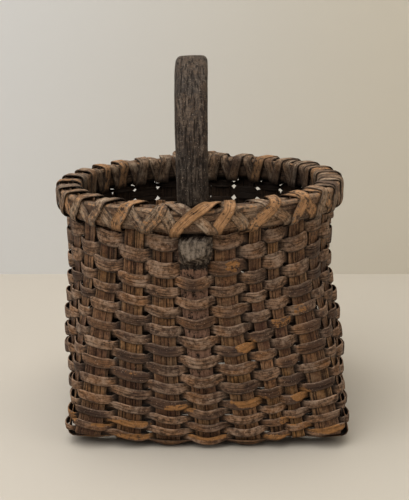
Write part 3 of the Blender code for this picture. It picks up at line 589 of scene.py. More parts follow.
def add_split_stake(name, seed):
    """The split stake: whole at the back and in the base, then two narrow uprights in front."""
    run, across = directions(True)
    own = SPLIT_STAKE_NUMBER
    _, base, far = whole_stake(own, True)
    root = -(REACH - 0.5) * STAKE_PITCH
    lengthwise = base[0][:, 1]
    pieces = [add_stake(name, ([rows[lengthwise > root] for rows in base], far), seed)]
    front, outs, sides, _, curls = (rows[lengthwise < root + STAKE_STEP] for rows in base)
    share = ramp(front[:, 1], root, front[:, 1].min())
    level = crossing_level(own, -REACH, True)
    for sign, at in ((-1, own), (1, own + 1)):
        root_shift = sign * (SPLIT_ROOT_SLIT + SPLIT_HALF_WIDTH) / 2
        end_shift = sign * (SPLIT_SLIT_AT_BASE + SPLIT_HALF_WIDTH) / 2
        end = stake_end(run, across, own * STAKE_PITCH + end_shift, -1, level, at, 1)
        half = front.copy()
        half[:, 0] += root_shift + (end_shift - root_shift) * share
        half_base = (half, outs, sides, np.full(len(half), SPLIT_HALF_WIDTH / 2), curls)
        pieces.append(add_stake(f"{name}.half", (upended(end), half_base), seed + 3 + sign))
    bpy.ops.object.select_all(action="DESELECT")
    for piece in pieces:
        piece.select_set(True)
    bpy.context.view_layer.objects.active = pieces[0]
    bpy.ops.object.join()
    pieces[0].name = name
    return pieces[0]


for direction in ("front_to_back", "left_to_right"):
    for own in range(-REACH, REACH + 1):
        node = f"stake_{direction}_{own + REACH + 1}"
        goes_back = direction == "front_to_back"
        seed = 20 * (own + REACH + 1) + (500 if goes_back else 0)
        if goes_back and own == SPLIT_STAKE_NUMBER:
            stake = add_split_stake(f"{node}_splint", seed)
        else:
            stake = add_stake(f"{node}_splint", whole_stake(own, goes_back), seed)
        dress(stake, node, STAKE_WOOD)

# Weaver: one long spiral of narrow splints, softer and greyer than the stakes. It goes over
# one upright and under the next, bulging over each and diving between them. Where a splint
# runs out, the next is lapped over it along three uprights.
ROWS = 22
ROW_PITCH_SHARES = ((0.0, 0.7), (0.15, 0.75), (0.33, 1.0), (0.8, 1.0), (0.88, 1.4), (1.0, 1.4))
WEAVER_THICKNESS = 0.0011
WEAVER_CLEARANCE = 0.0003
WEAVER_BULGE = 0.0016
SPLINT_CROWN = 0.0002
SPLINT_TIP_SHARES = (0.55, 0.8, 0.93)
WEAVER_SPLINTS = 8
LAP_UPRIGHTS = 2
LAP_LAYER = 0.0014
LASH_THICKNESS = 0.0009
LASH_LAYER = 0.0013
WEAVE_TOP = HOOP_BOTTOM - 2 * LASH_LAYER - 0.0003
WEAVER_STEP = 0.0022
END_REACH = 0.006
EDGE_MARGIN = 0.0005
PASS_LIFT = 0.00035
PASS_ROLL = 0.13
PASS_FULLNESS = 1.17
GAP_FULLNESS = 0.74
# High in the back wall the rows stand open, and light shows between them.
OPEN_TURN = 19.0
OPEN_REACH = 0.05
OPEN_SHARE = 0.42
# Along a splint, 0 is an upright's middle, 1 its edge and 2 the middle of the gap after it.
AWAY_COLUMN = 10
MID_GAP = 2
HUMP_REACH = 1.2
FULL_REACH = 0.9
EDGE_TURN = 0.33
# How much a pass sags over some uprights, against the rest: most over the ends of the handle.
PASS_SAG = 0.001
PASS_SAG_SHARES = {0: 2.6, 1: 1.9, 15: 2.2, 28: 1.3}
OTHER_SAG_SHARE = 0.7
INSIDE_SAG_SHARE = -0.3
# How far a pass falls from its middle to the right edge of its upright, round the front.
PASS_FALLS = {25: 0.0008, 26: 0.0016, 27: 0.0017, 28: 0.0012}
PASS_FALLS |= {1: -0.0006, 2: -0.0008, 3: -0.0008, 4: -0.0014, 5: -0.0008}
ROW_GAP = 0.0004
TAIL_THICKNESS = 0.0018
TAIL_END_HEIGHT = 0.052
KNOB_HEIGHT = 0.022
FRONT_REACH = -0.055
# Rubbed places on the front: left or right of the middle, height, half width and half height,
# and how rubbed each one is.
WORN_PATCHES = (
    (0.034, 0.0385, 0.017, 0.0045, 1.0),
    (0.029, 0.082, 0.010, 0.005, 0.9),
    (-0.022, 0.033, 0.013, 0.004, 0.8),
    (0.000, 0.0105, 0.016, 0.0035, 1.0),
    (-0.066, 0.020, 0.024, 0.0035, 0.9),
    (-0.052, 0.010, 0.030, 0.003, 0.7),
    (0.071, 0.042, 0.008, 0.005, 0.9),
    (0.090, 0.016, 0.018, 0.004, 0.9),
    (0.062, 0.022, 0.010, 0.004, 0.7),
    (0.052, 0.009, 0.014, 0.003, 0.8),
    (0.055, 0.098, 0.009, 0.005, 0.6),
    (0.070, 0.105, 0.007, 0.005, 0.6),
    (0.018, 0.143, 0.006, 0.005, 0.7),
    (-0.105, 0.025, 0.006, 0.005, 0.7),
    (-0.055, 0.062, 0.020, 0.004, 0.35),
)


def row_edges():
    """Height of the lower edge of the weaver after each whole turn."""
    places, shares = zip(*ROW_PITCH_SHARES)
    pitches = np.interp((np.arange(ROWS) + 0.5) / ROWS, places, shares)
    edges = np.concatenate(((0.0,), np.cumsum(pitches)))
    return WALL_FOOT + (WEAVE_TOP - WALL_FOOT) * edges / edges[-1]


ROW_EDGES = row_edges()


def row_at(turns):
    """Heights of the weaver's lower and upper edge, a number of turns along its spiral."""
    places = np.arange(1, ROWS + 2)
    return np.interp(turns, places, ROW_EDGES), np.interp(turns + 1, places, ROW_EDGES)


def knob_bottom(at):
    """Lower end of the knob over an upright, moved off any row that passes outside there."""
    bottom = WEAVE_TOP - KNOB_HEIGHT
    for step in range(at, (ROWS + 1) * COUNT, COUNT):
        low, high = row_at(step / COUNT)
        if step % 2 == 1 and low < bottom < high:
            return float(low) - ROW_GAP
    return bottom


KNOB_BOTTOMS = {at: knob_bottom(at) for at in HANDLE_UPRIGHTS}


def lap_meets_handle(start):
    return any((start + k) % COUNT in HANDLE_UPRIGHTS for k in range(-1, LAP_UPRIGHTS + 2))


def splice_steps():
    """First step of each splint, on a step inside the wall and away from the handle's ends."""
    first = math.ceil(COUNT / 3)
    last = COUNT * (ROWS + 1) - first
    starts = []
    for k in range(WEAVER_SPLINTS):
        start = first + round((last - first) * k / WEAVER_SPLINTS)
        start += start % 2
        while lap_meets_handle(start):
            start += 2
        starts.append(start)
    return starts, last


def pass_offset(step, lap):
    """How far the weaver stands off an upright's middle, bulges over it and sags on it."""
    at = step % COUNT
    way = 1 if step % 2 == 1 else -1
    offset = (STAKE_THICKNESS + WEAVER_THICKNESS) / 2 + WEAVER_CLEARANCE
    bulge = WEAVER_BULGE * np.random.default_rng(4000 + step).uniform(0.7, 1.35)
    sag = PASS_SAG * INSIDE_SAG_SHARE
    if way > 0:
        sag = PASS_SAG * PASS_SAG_SHARES.get(at, OTHER_SAG_SHARE)
    if way > 0 and at in HANDLE_UPRIGHTS:
        low, high = row_at(step / COUNT)
        if low < KNOB_BOTTOMS[at] and high > TAIL_END_HEIGHT:
            offset += TAIL_THICKNESS + WEAVER_CLEARANCE
        if low >= KNOB_BOTTOMS[at] - ROW_GAP:
            bulge = 0.0
    if lap == ("new" if way > 0 else "old"):
        offset += LAP_LAYER
    return way * offset, way * bulge, sag


def lap_of(step, start, has_before, next_start):
    """Whether the splint lies over the one before it here, or under the next one."""
    if has_before and step <= start + LAP_UPRIGHTS:
        return "new"
    return "old" if next_start is not None and step >= next_start else ""


def weaver_knots(start, finish, has_before, next_start):
    """Knots at both edges and the middle of each upright, and halfway through each gap."""
    rows = []
    for step in range(start, finish + 1):
        upright = UPRIGHTS[step % COUNT]
        height = sum(row_at(step / COUNT)) / 2
        (centre,), (normal,), (side,) = upright.at(height)
        half = float(upright.half_width(height)) + EDGE_MARGIN
        offset_bulge_sag = pass_offset(step, lap_of(step, start, has_before, next_start))
        noise = np.random.default_rng(7000 + step).uniform(-1, 1, 5)
        for share in (-1, 0, 1):
            place = centre + side * half * share
            turn = (step + EDGE_TURN * share) / COUNT
            fall = share * PASS_FALLS.get(step % COUNT, 0.0) * (step % 2)
            rows.append([*place[:2], *normal, turn, *offset_bulge_sag, fall, abs(share), *noise])
    knots = np.array(rows)
    halfway = (knots[2:-1:3] + knots[3::3]) / 2
    halfway[:, AWAY_COLUMN] = MID_GAP
    joined = [knots[0:3]]
    for k, gap in enumerate(halfway):
        joined += [gap[None], knots[3 * k + 3 : 3 * k + 6]]
    return np.vstack(joined)


def weaver_path(knots):
    """Centres, directions and sizes along one splint of the weaver, at even steps."""
    runs = np.linalg.norm(np.diff(knots[:, :2], axis=0), axis=1)
    along = np.concatenate(((0.0,), np.cumsum(runs)))
    samples = np.arange(-END_REACH, along[-1] + END_REACH, WEAVER_STEP)
    spread = np.array([np.interp(samples, along, column) for column in knots.T]).T
    first_way, last_way = unit(knots[1, :2] - knots[0, :2]), unit(knots[-1, :2] - knots[-2, :2])
    spread[:, :2] += np.outer(np.minimum(samples, 0), first_way)
    spread[:, :2] += np.outer(np.maximum(samples - along[-1], 0), last_way)
    normals = unit(smooth(spread[:, 2:5], 3))
    turns, offsets, bulges, sags, falls, away = spread[:, 5:11].T
    lift, roll, breadth, tone, warmth = smooth(spread[:, 11:16], 3).T
    hump = np.cos(np.minimum(away, HUMP_REACH) / HUMP_REACH * math.pi / 2)
    fullness = 1 - ramp(away, FULL_REACH, MID_GAP) ** 1.7
    offsets = smooth(offsets + bulges * hump, 2)
    low, high = row_at(turns)
    heights = (low + high) / 2 - smooth(sags * hump + falls, 2) + lift * PASS_LIFT
    centres = np.column_stack((smooth(spread[:, :2], 1), heights)) + normals * offsets[:, None]
    is_open = np.clip(turns - OPEN_TURN, 0, 1) * np.clip(centres[:, 1] / OPEN_REACH, 0, 1)
    in_gap = GAP_FULLNESS - OPEN_SHARE * is_open
    half_heights = (high - low) / 2 * (in_gap + (PASS_FULLNESS - in_gap) * fullness)
    half_heights = half_heights * (1 + 0.07 * breadth)
    return centres, normals, half_heights, roll * PASS_ROLL, offsets, tone, warmth, turns


def rolled_frame(centres, outs, roll, hand=1):
    """Sideways and outward directions along a line, rolled about it."""
    tangents = unit(np.gradient(centres, axis=0))
    sides = hand * unit(np.cross(outs, tangents))
    outs = hand * unit(np.cross(tangents, sides))
    cosine, sine = np.cos(roll)[:, None], np.sin(roll)[:, None]
    return sides * cosine + outs * sine, outs * cosine - sides * sine


def patch_strength(points):
    """How rubbed each point is, from the named patches on the front."""
    strength = np.zeros(points.shape[:-1])
    is_front = points[..., 1] < FRONT_REACH
    for x, z, wide, tall, amount in WORN_PATCHES:
        away = ((points[..., 0] - x) / wide) ** 2 + ((points[..., 2] - z) / tall) ** 2
        strength = np.maximum(strength, amount * np.clip(1.5 - away, 0, 1) * is_front)
    return strength


def back_wear(turns, tone):
    """Wear of some passes away from the front, more of them low down as on the side that shows."""
    at = (turns * COUNT) % COUNT
    is_away = (at > 4.5) & (at < COUNT - 4.5)
    return np.where(is_away, np.clip(tone - 0.45 - 1.6 * turns / ROWS, 0, 0.5) * 2, 0)


WEAVER_WOOD = aged_wood(
    "weaver_wood",
    base=(0.184, 0.097, 0.05), deep=(0.055, 0.03, 0.021), bloom=(0.33, 0.228, 0.16),
    warm=(0.24, 0.106, 0.038), rubbed=(0.31, 0.145, 0.05),
    lines=620.0, run=20.0, line_depth=0.55, bump=0.8,
)


def add_weaver(number, start, finish, has_before, next_start):
    knots = weaver_knots(start, finish, has_before, next_start)
    centres, normals, half_heights, roll, offsets, tone, warmth, turns = weaver_path(knots)
    sides, outs = rolled_frame(centres, normals, roll)
    widths = half_heights * (1 + UNEVEN_WIDTH * wander(60 + number, len(centres), 5))
    tip = len(SPLINT_TIP_SHARES)
    widths[:tip] *= SPLINT_TIP_SHARES
    widths[-tip:] *= SPLINT_TIP_SHARES[::-1]
    uneven = 1 + UNEVEN_THICKNESS * wander(80 + number, len(centres), 8)
    thicks = WEAVER_THICKNESS / 2 * uneven
    rings, grain_widths = splint_rings(centres, sides, outs, widths, thicks, SPLINT_CROWN)
    edge, inner = edge_and_inner_marks()
    # Painted shade where a pass dives between the uprights, along the lower edge of each pass, and
    # on its inner side.
    gap_shade = 0.9 * ramp(offsets, 0.0003, -0.0011)[:, None]
    below = (centres[:, None, 2] - rings[..., 2]) / widths[:, None]
    lower_edge_shade = 0.8 * ramp(below, 0.66, 0.94)
    high_up = turns / ROWS
    marks = {
        "painted_shade": np.clip(gap_shade + lower_edge_shade + INWARD_SHADE * inner, 0, 0.92),
        "worn": np.maximum(patch_strength(lean(rings)), back_wear(turns, tone)[:, None]),
        # Painted highlight along the edges.
        "edge": edge * 0.8,
        "tone": np.clip(0.46 + 0.85 * tone + 0.4 * high_up, 0, 1)[:, None],
        "warm": np.clip(0.55 + 0.9 * warmth - 0.35 * high_up, 0, 1)[:, None],
    }
    made = add_strip(f"weaver_{number}_splint", rings, grain_widths, 1.3 * number, marks)
    dress(made, f"weaver_{number}", WEAVER_WOOD)


starts, last_step = splice_steps()
for k, start in enumerate(starts):
    has_next = k + 1 < len(starts)
    finish = starts[k + 1] + LAP_UPRIGHTS if has_next else last_step
    add_weaver(k + 1, start, finish, k > 0, starts[k + 1] if has_next else None)

# Hoops: two bent strips of the same wood, one inside and one outside the uprights' tops. Each
# is scarfed where its ends meet. They are held only by the lashing, and the outer one stands
# a little off the uprights where the neck of the handle passes behind it.
HOOP_THICKNESS = 0.007
HOOP_STATIONS_PER_PITCH = 10
CLEARANCE = 0.0003
FACE_OF_STAKE = STAKE_THICKNESS / 2 + CLEARANCE
FLAT_SAG = (STAKE_WIDTH_AT_RIM / 2) ** 2 / (2 * RIM_RADIUS)
HOOP_SEAT = FACE_OF_STAKE + FLAT_SAG + CLEARANCE
HANDLE_FOOT_WIDTH = 0.0226
NECK_THICKNESS = 0.0045
NECK_OUTER = FACE_OF_STAKE + NECK_THICKNESS
FOOT_ANGLE = math.atan((HANDLE_FOOT_WIDTH / 2 + CLEARANCE) / (RIM_RADIUS + NECK_OUTER))
BULGE_SHARES = (1.0, 0.45, 0.12, 0.0)
SCARF_TIP = 0.0012
SCARF_RISE = HOOP_THICKNESS - CLEARANCE - 2 * SCARF_TIP
HOOP_ROUND = 0.0027
HOOP_FOOT_ROUND = 0.0042
HOOP_ROUND_STEPS = 4
UNEVEN_HOOP = 0.06
UNEVEN_TOP = 0.0007
UNEVEN_BOTTOM = 0.0006
LOW_SHADE_HEIGHT = 0.004
INSIDE_SHADE_DEPTH = 0.003
INSIDE_SHADE = 0.72


def bulge(angles):
    """How far the outer hoop stands out: straight across the neck, then easing back."""
    nearest = np.min([np.abs(around(angles, ANGLES[k])) for k in HANDLE_UPRIGHTS], axis=0)
    straight = RIM_RADIUS + NECK_OUTER + CLEARANCE
    most = straight / np.cos(np.minimum(nearest, FOOT_ANGLE)) - RIM_RADIUS - HOOP_SEAT
    steps = (FOOT_ANGLE, RIM_PITCH, 1.5 * RIM_PITCH, 2 * RIM_PITCH)
    return most * np.interp(nearest, steps, BULGE_SHARES)


def round_the_rim(angles, radial, heights):
    """Points near the rim: radial counts outwards from the middle of the uprights."""
    radius = RIM_RADIUS + radial
    x = RIM_OFFSET + radius * np.sin(angles)
    return np.stack((x, -radius * np.cos(angles), heights * np.ones_like(x)), axis=-1)


def eased_rectangle(low, high, left, right, eases):
    """Corners of a rectangle with rounded corners: low to high up it, left to right across it."""
    turns = np.linspace(0, math.pi / 2, HOOP_ROUND_STEPS + 1)
    outline = []
    for quarter, ease in enumerate(eases):
        x = right - ease if quarter in (0, 3) else left + ease
        y = high - ease if quarter in (0, 1) else low + ease
        for turn in turns + quarter * math.pi / 2:
            outline.append((x + ease * math.cos(turn), y + ease * math.sin(turn)))
    return np.array(outline)


def add_hoop(node, direction, first, seed, material):
    total = 2 * math.pi + RIM_PITCH
    stations = int(HOOP_STATIONS_PER_PITCH * total / RIM_PITCH)
    angles = ANGLES[first] + np.linspace(0, total, stations)
    near = HOOP_SEAT + bulge(angles) if direction > 0 else np.full(stations, FACE_OF_STAKE)
    far = near + HOOP_THICKNESS * (1 + UNEVEN_HOOP * wander(seed, stations, 9))
    lap = np.clip((angles - angles[0]) / RIM_PITCH, 0, 1)
    tail = np.clip((angles[-1] - angles) / RIM_PITCH, 0, 1)
    far = np.where(lap < 1, near + SCARF_TIP + SCARF_RISE * lap, far)
    near = np.where(tail < 1, near + HOOP_THICKNESS - SCARF_TIP - SCARF_RISE * tail, near)
    top = RIM_TOP + UNEVEN_TOP * wander(seed + 1, stations, 7)
    bottom = HOOP_BOTTOM + UNEVEN_BOTTOM * wander(seed + 2, stations, 9)
    rings, widths, corners = [], [], []
    for k in range(stations):
        ease = min(HOOP_ROUND, (far[k] - near[k]) * 0.4)
        foot_ease = min(HOOP_FOOT_ROUND, (far[k] - near[k]) * 0.6)
        eases = (ease, ease, ease, foot_ease)
        places, heights = eased_rectangle(bottom[k], top[k], near[k], far[k], eases).T
        rings.append(round_the_rim(angles[k], places * direction, heights))
        widths.append(heights - HOOP_BOTTOM + places * direction)
        corners.append((heights > top[k] - ease * 0.9) & (places > far[k] - ease * 0.9))
    rings = np.array(rings)
    corners = np.array(corners).astype(float)
    # Painted shade along the hoops' lower edge and over the inner hoop's inner face, and a painted
    # highlight on the top outer corner; the worn mark there is real wear.
    low = ramp(rings[..., 2], HOOP_BOTTOM + LOW_SHADE_HEIGHT, HOOP_BOTTOM)
    inside = ramp(rings[..., 2], RIM_TOP, RIM_TOP - INSIDE_SHADE_DEPTH) * (direction < 0)
    marks = {
        "painted_shade": np.clip(0.5 * low + INSIDE_SHADE * inside, 0, 0.9),
        "worn": 0.2 + 0.3 * corners,
        "edge": corners,
        "tone": drifting(0.5, 0.4, seed + 3, stations, 6),
        "warm": drifting(0.4, 0.5, seed + 4, stations, 9),
    }
    made = add_strip(f"{node}_strip", rings, np.array(widths), 1.1 * seed, marks)
    dress(made, node, material)


HOOP_WOOD = aged_wood(
    "hoop_wood",
    base=(0.18, 0.1, 0.054), deep=(0.07, 0.038, 0.024), bloom=(0.32, 0.23, 0.155),
    warm=(0.25, 0.125, 0.053), rubbed=(0.34, 0.175, 0.08),
    lines=600.0, run=12.0, line_depth=0.75, bump=0.9,
)
add_hoop("hoop_inner", -1, STAKES_EACH_WAY + 3, 31, HOOP_WOOD)
add_hoop("hoop_outer", 1, 3 * STAKES_EACH_WAY, 37, HOOP_WOOD)

# Lashing: two narrow strips of tough inner bark wood, laced over both hoops and through the
# gaps between the uprights in opposite directions, so that they cross above each upright.
# They lie nearly flat on the hoops, and their crowns are rubbed to orange here and there.
LASH_WIDTH = 0.0096
LASH_WIDTH_AT_HANDLE = 0.0084
LASH_ARCH = 0.0005
LASH_PIECES = 2
LASH_START_POST = 4
LASH_SAMPLES_PER_KNOT = 4
LASH_STAND = 0.00055
LASH_OVER = 0.00105
LASH_ROLL = 0.1
UNEVEN_LASH = 0.05
CREST_DEPTH = 0.008
CREST_HEIGHT = 0.002
INSIDE_REACH = 0.006
# A loop's route: share of its way round the rim, share of the way from the inner face (-1) to
# the outer face (1), share of the hoop's height, and how much of the arch it takes.
LOOP_ROUTE_SHARES = (
    (0.00, 0.0, 0.00, 0.0),
    (0.04, 0.48, 0.00, 0.0),
    (0.08, 0.86, 0.09, 0.0),
    (0.13, 1.0, 0.32, 0.0),
    (0.29, 1.0, 0.56, 0.0),
    (0.45, 1.0, 0.82, 0.0),
    (0.50, 0.89, 0.95, 0.1),
    (0.54, 0.62, 1.00, 0.5),
    (0.60, 0.0, 1.00, 1.0),
    (0.66, -0.62, 1.00, 0.5),
    (0.69, -0.89, 0.95, 0.1),
    (0.72, -1.0, 0.82, 0.0),
    (0.82, -1.0, 0.50, 0.0),
    (0.94, -1.0, 0.10, 0.0),
    (0.97, -0.8, 0.00, 0.0),
)
# The same over an end of the handle, where the strip climbs over the strap's lower corner: the
# distance past the strap's middle, the radial place in metres or by a name from PLACE_SHARES,
# and the height above the hoops' top edge.
LOW_ABOVE = -0.0187
HANDLE_ROUTE = (
    (-0.0128, "through", LOW_ABOVE),
    (-0.0122, "outer edge", LOW_ABOVE),
    (-0.0114, "outer", -0.0160),
    (-0.0058, "outer", -0.0095),
    (0.0000, "outer", -0.0044),
    (0.0062, "outer", 0.0002),
    (0.0118, 0.0104, 0.0030),
    (0.0152, 0.0052, 0.0024),
    (0.0164, -0.0015, 0.0012),
    (0.0162, "inner edge", -0.0004),
    (0.0155, "inner", -0.0034),
    (0.0145, "inner", -0.0090),
    (0.0136, "inner", -0.0160),
    (0.0131, "inner edge", LOW_ABOVE),
)
# Shares of the way to the inner and to the outer face of the hoops.
PLACE_SHARES = {
    "through": (0, 0), "inner": (1, 0), "inner edge": (0.85, 0),
    "outer": (0, 1), "outer edge": (0, 0.8),
}
# By upright and direction: loops that are pushed sideways, and how orange the loops are.
PUSHED_LOOPS = {(28, 1): 0.12, (28, -1): -0.22, (27, 1): -0.04, (2, 1): 0.05, (5, -1): -0.06}
ORANGE_SHARE = 0.3
NAMED_ORANGE = {
    (0, 1): 1.0, (0, -1): 0.0, (1, 1): 0.95, (1, -1): 0.3, (2, 1): 0.8, (4, 1): 0.7,
    (28, 1): 0.5, (28, -1): 0.3, (27, 1): 0.75, (27, -1): 0.4, (26, 1): 0.3, (26, -1): 0.45,
    (25, 1): 0.3, (25, -1): 0.2, (24, 1): 0.35,
}


def lash_posts():
    """Posts that the lashing crosses over: middle, left and right edge, and upright."""
    posts = []
    for k in range(COUNT):
        if k == SPLIT_STAKE_NUMBER + 1:
            continue
        last = k + 1 if k == SPLIT_STAKE_NUMBER else k
        width = HANDLE_FOOT_WIDTH if k in HANDLE_UPRIGHTS else UPRIGHTS[k].width_at_rim
        half = width / 2 / RIM_RADIUS
        posts.append(((ANGLES[k] + ANGLES[last]) / 2, ANGLES[k] - half, ANGLES[last] + half, k))
    return posts


def lash_gaps(posts):
    """The gap after each post: its middle and the half angle that a strip can take there."""
    gaps = []
    for k, (_, _, left, _) in enumerate(posts):
        right = posts[(k + 1) % len(posts)][1] + (2 * math.pi if k + 1 == len(posts) else 0.0)
        room = (right - left) / 2 - CLEARANCE / RIM_RADIUS
        gaps.append(((left + right) / 2, min(room, LASH_WIDTH / 2 / RIM_RADIUS)))
    return gaps


def lash_faces(layer, angle):
    """Radial place of a strip's middle on the inner and the outer face of the hoops."""
    stand = LASH_STAND + layer * LASH_OVER
    inner = -(FACE_OF_STAKE + HOOP_THICKNESS + stand)
    outer = HOOP_SEAT + HOOP_THICKNESS + stand + float(bulge(np.array(angle)))
    return inner, outer, stand


def handle_loop_knots(middle, low_half, direction, layer):
    """Knots of the loop over an end of the handle: angle, radial place, height, half width."""
    knots = []
    for distance, place, above in HANDLE_ROUTE:
        angle = middle + direction * distance / RIM_RADIUS
        inner, outer, stand = lash_faces(layer, angle)
        if isinstance(place, str):
            inner_share, outer_share = PLACE_SHARES[place]
            radial = inner * inner_share + outer * outer_share
        else:
            radial = place + layer * LASH_OVER
        raised = np.interp(above, (LOW_ABOVE, -0.016, 0), (-1, 0, 1))
        height = RIM_TOP + above + (stand - LASH_STAND) * raised
        half = low_half * RIM_RADIUS if place == "through" else LASH_WIDTH_AT_HANDLE / 2
        knots.append((angle, radial, height, half))
    return knots


def plain_loop_knots(low, end, layer, jitter, push):
    """Knots of a loop over a stake's top, as for the handle's."""
    full = LASH_WIDTH / 2 * (0.93 + 0.13 * jitter[0])
    arch = LASH_ARCH * (1 + 0.7 * jitter[1])
    knots = []
    for way, place, rise, arched in LOOP_ROUTE_SHARES:
        share = way + (push + 0.05 * jitter[2]) * math.sin(math.pi * way)
        angle = low[0] + (end[0] - low[0]) * share
        inner, outer, stand = lash_faces(layer, angle)
        radial = place * (outer if place > 0 else -inner)
        height = HOOP_BOTTOM - stand + rise * (HOOP_HEIGHT + 2 * stand) + arched * arch
        knots.append((angle, radial, height, low[1] * RIM_RADIUS if way == 0.0 else full))
    return knots


def through_knots(knots, samples):
    """A smooth line through the knots, with a number of samples between each two."""
    knots = np.asarray(knots)
    padded = np.vstack((2 * knots[0] - knots[1], knots, 2 * knots[-1] - knots[-2]))
    share = np.linspace(0, 1, samples, endpoint=False)[:, None]
    pieces = []
    for before, first, second, after in zip(padded, padded[1:], padded[2:], padded[3:]):
        straight = 2 * first + (second - before) * share
        curved = (2 * before - 5 * first + 4 * second - after) * share**2
        twisted = (3 * first - before - 3 * second + after) * share**3
        pieces.append(0.5 * (straight + curved + twisted))
    return np.vstack(pieces + [knots[-1:]])


def lash_line(piece, direction, layer, seed):
    """The line of one strip: angle, radial place, height, half width and how orange it is."""
    posts = lash_posts()
    gaps = lash_gaps(posts)
    count = len(posts)
    per_piece = count // LASH_PIECES
    knots = []
    for k in range(per_piece):
        at = LASH_START_POST + direction * (piece * per_piece + k)
        middle, _, _, upright = posts[at % count]
        ends = []
        for number in (at - 1, at) if direction > 0 else (at, at - 1):
            gap, half = gaps[number % count]
            ends.append((gap + 2 * math.pi * (number // count), half))
        low, end = ends
        jitter = np.random.default_rng(seed + upright).uniform(-1, 1, 4)
        orange = 0.75 if jitter[3] * 0.5 + 0.5 < ORANGE_SHARE else 0.1
        orange = NAMED_ORANGE.get((upright, direction), orange)
        if upright in HANDLE_UPRIGHTS:
            middle += 2 * math.pi * (at // count)
            loop = handle_loop_knots(middle, low[1], direction, layer)
        else:
            push = PUSHED_LOOPS.get((upright, direction), 0.0)
            loop = plain_loop_knots(low, end, layer, jitter, push)
        knots += [(*knot, orange) for knot in loop]
    _, _, stand = lash_faces(layer, end[0])
    knots.append((end[0], 0.0, HOOP_BOTTOM - stand, end[1] * RIM_RADIUS, orange))
    return through_knots(knots, LASH_SAMPLES_PER_KNOT)


def add_lashing(name, direction, layer, seed, material):
    for piece in range(LASH_PIECES):
        angle, radial, height, half, orange = lash_line(piece, direction, layer, seed).T
        count = len(angle)
        centres = round_the_rim(angle, radial, height)
        rates = unit(smooth(np.gradient(np.stack((radial, height), axis=1), axis=0), 2))
        outwards = np.stack((np.sin(angle), -np.cos(angle)), axis=1) * rates[:, 1:2]
        roll = LASH_ROLL * wander(seed + 40 + piece, count, 14)
        sides, outs = rolled_frame(centres, np.hstack((outwards, -rates[:, :1])), roll, hand=-1)
        widths = half * (1 + UNEVEN_LASH * wander(seed + 50 + piece, count, 5))
        thick = LASH_THICKNESS / 2
        rings, grain_widths = splint_rings(centres, sides, outs, widths, thick, SPLINT_CROWN)
        edge, under = edge_and_inner_marks()
        heights = rings[..., 2]
        crest = ramp(heights, RIM_TOP - CREST_DEPTH, RIM_TOP + CREST_HEIGHT)
        inside = ramp(radial, 0, -INSIDE_REACH)[:, None] * (1 - 0.6 * crest)
        low = ramp(heights, HOOP_BOTTOM + 0.003, HOOP_BOTTOM - 0.001)
        # Painted shade near the hoops' lower edge, on the inside, on the underside, and as dark
        # outlines along the edges where the strips lie on each other.
        lash_shade = 0.55 * low + INSIDE_SHADE * 0.8 * inside + 0.5 * under + 0.6 * edge**2
        rubbed = 0.85 * orange[:, None] + 0.06 * crest
        marks = {
            "painted_shade": np.clip(lash_shade, 0, 0.9),
            "worn": drifting(rubbed, 0.12, seed + 70 + piece, count, 9),
            # A faint painted highlight along the edges.
            "edge": 0.3 * edge,
            "tone": drifting(0.8, 0.5, seed + 80 + piece, count, 12),
            "warm": drifting(0.35, 0.6, seed + 90 + piece, count, 12),
        }
        start = seed + 1.9 * piece
        made = add_strip(f"{name}_{piece + 1}_strip", rings, grain_widths, start, marks)
        dress(made, f"{name}_{piece + 1}", material)


LASH_WOOD = aged_wood(
    "lash_wood",
    base=(0.2, 0.118, 0.065), deep=(0.07, 0.04, 0.028), bloom=(0.4, 0.3, 0.21),
    warm=(0.27, 0.13, 0.055), rubbed=(0.4, 0.21, 0.095),
    lines=560.0, run=20.0, line_depth=0.45, bump=0.8,
)
add_lashing("lashing_under", -1, 0, 200, LASH_WOOD)
add_lashing("lashing_over", 1, 1, 300, LASH_WOOD)

# Handle: one bow of bent hardwood, dark and dry, greyer on its crown. Each end is thinned to a
# neck that goes down behind the outer hoop, hooks under it with a knob whittled in flat
# facets, and runs out as a thin tail under the rows of the weaver.
HANDLE_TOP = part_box("handle")[1].z
HANDLE_WIDTH = 0.0254
HANDLE_THICKNESS = 0.0085
HANDLE_OUTER = FACE_OF_STAKE + HANDLE_THICKNESS
HANDLE_OUTER_EASE = 0.0042
HANDLE_INNER_EASE = 0.002
HANDLE_CROWN = 0.0006
BOW_FOOT = RIM_TOP + 0.0015
NECK_EASE = 0.0006
KNOB_EASE = 0.0012
KNOB_SHIFT = 0.0015
KNOB_THICKNESS = 0.0085
KNOB_INNER = FACE_OF_STAKE + WEAVER_THICKNESS + 2 * WEAVER_CLEARANCE + 0.0004
KNOB_FACE = KNOB_INNER + KNOB_THICKNESS
KNOB_STEP = 0.0009
# Half width of the knob from its lower end up, and how its lower lip and its surface are cut.
KNOB_HEIGHTS = (0.0, 0.004, 0.012)
KNOB_HALF_WIDTHS = (0.0099, 0.0114, 0.0124)
KNOB_LIP = 0.0038
KNOB_LIP_SLOPE = 2.2
KNOB_ROUGHNESS = 0.00025
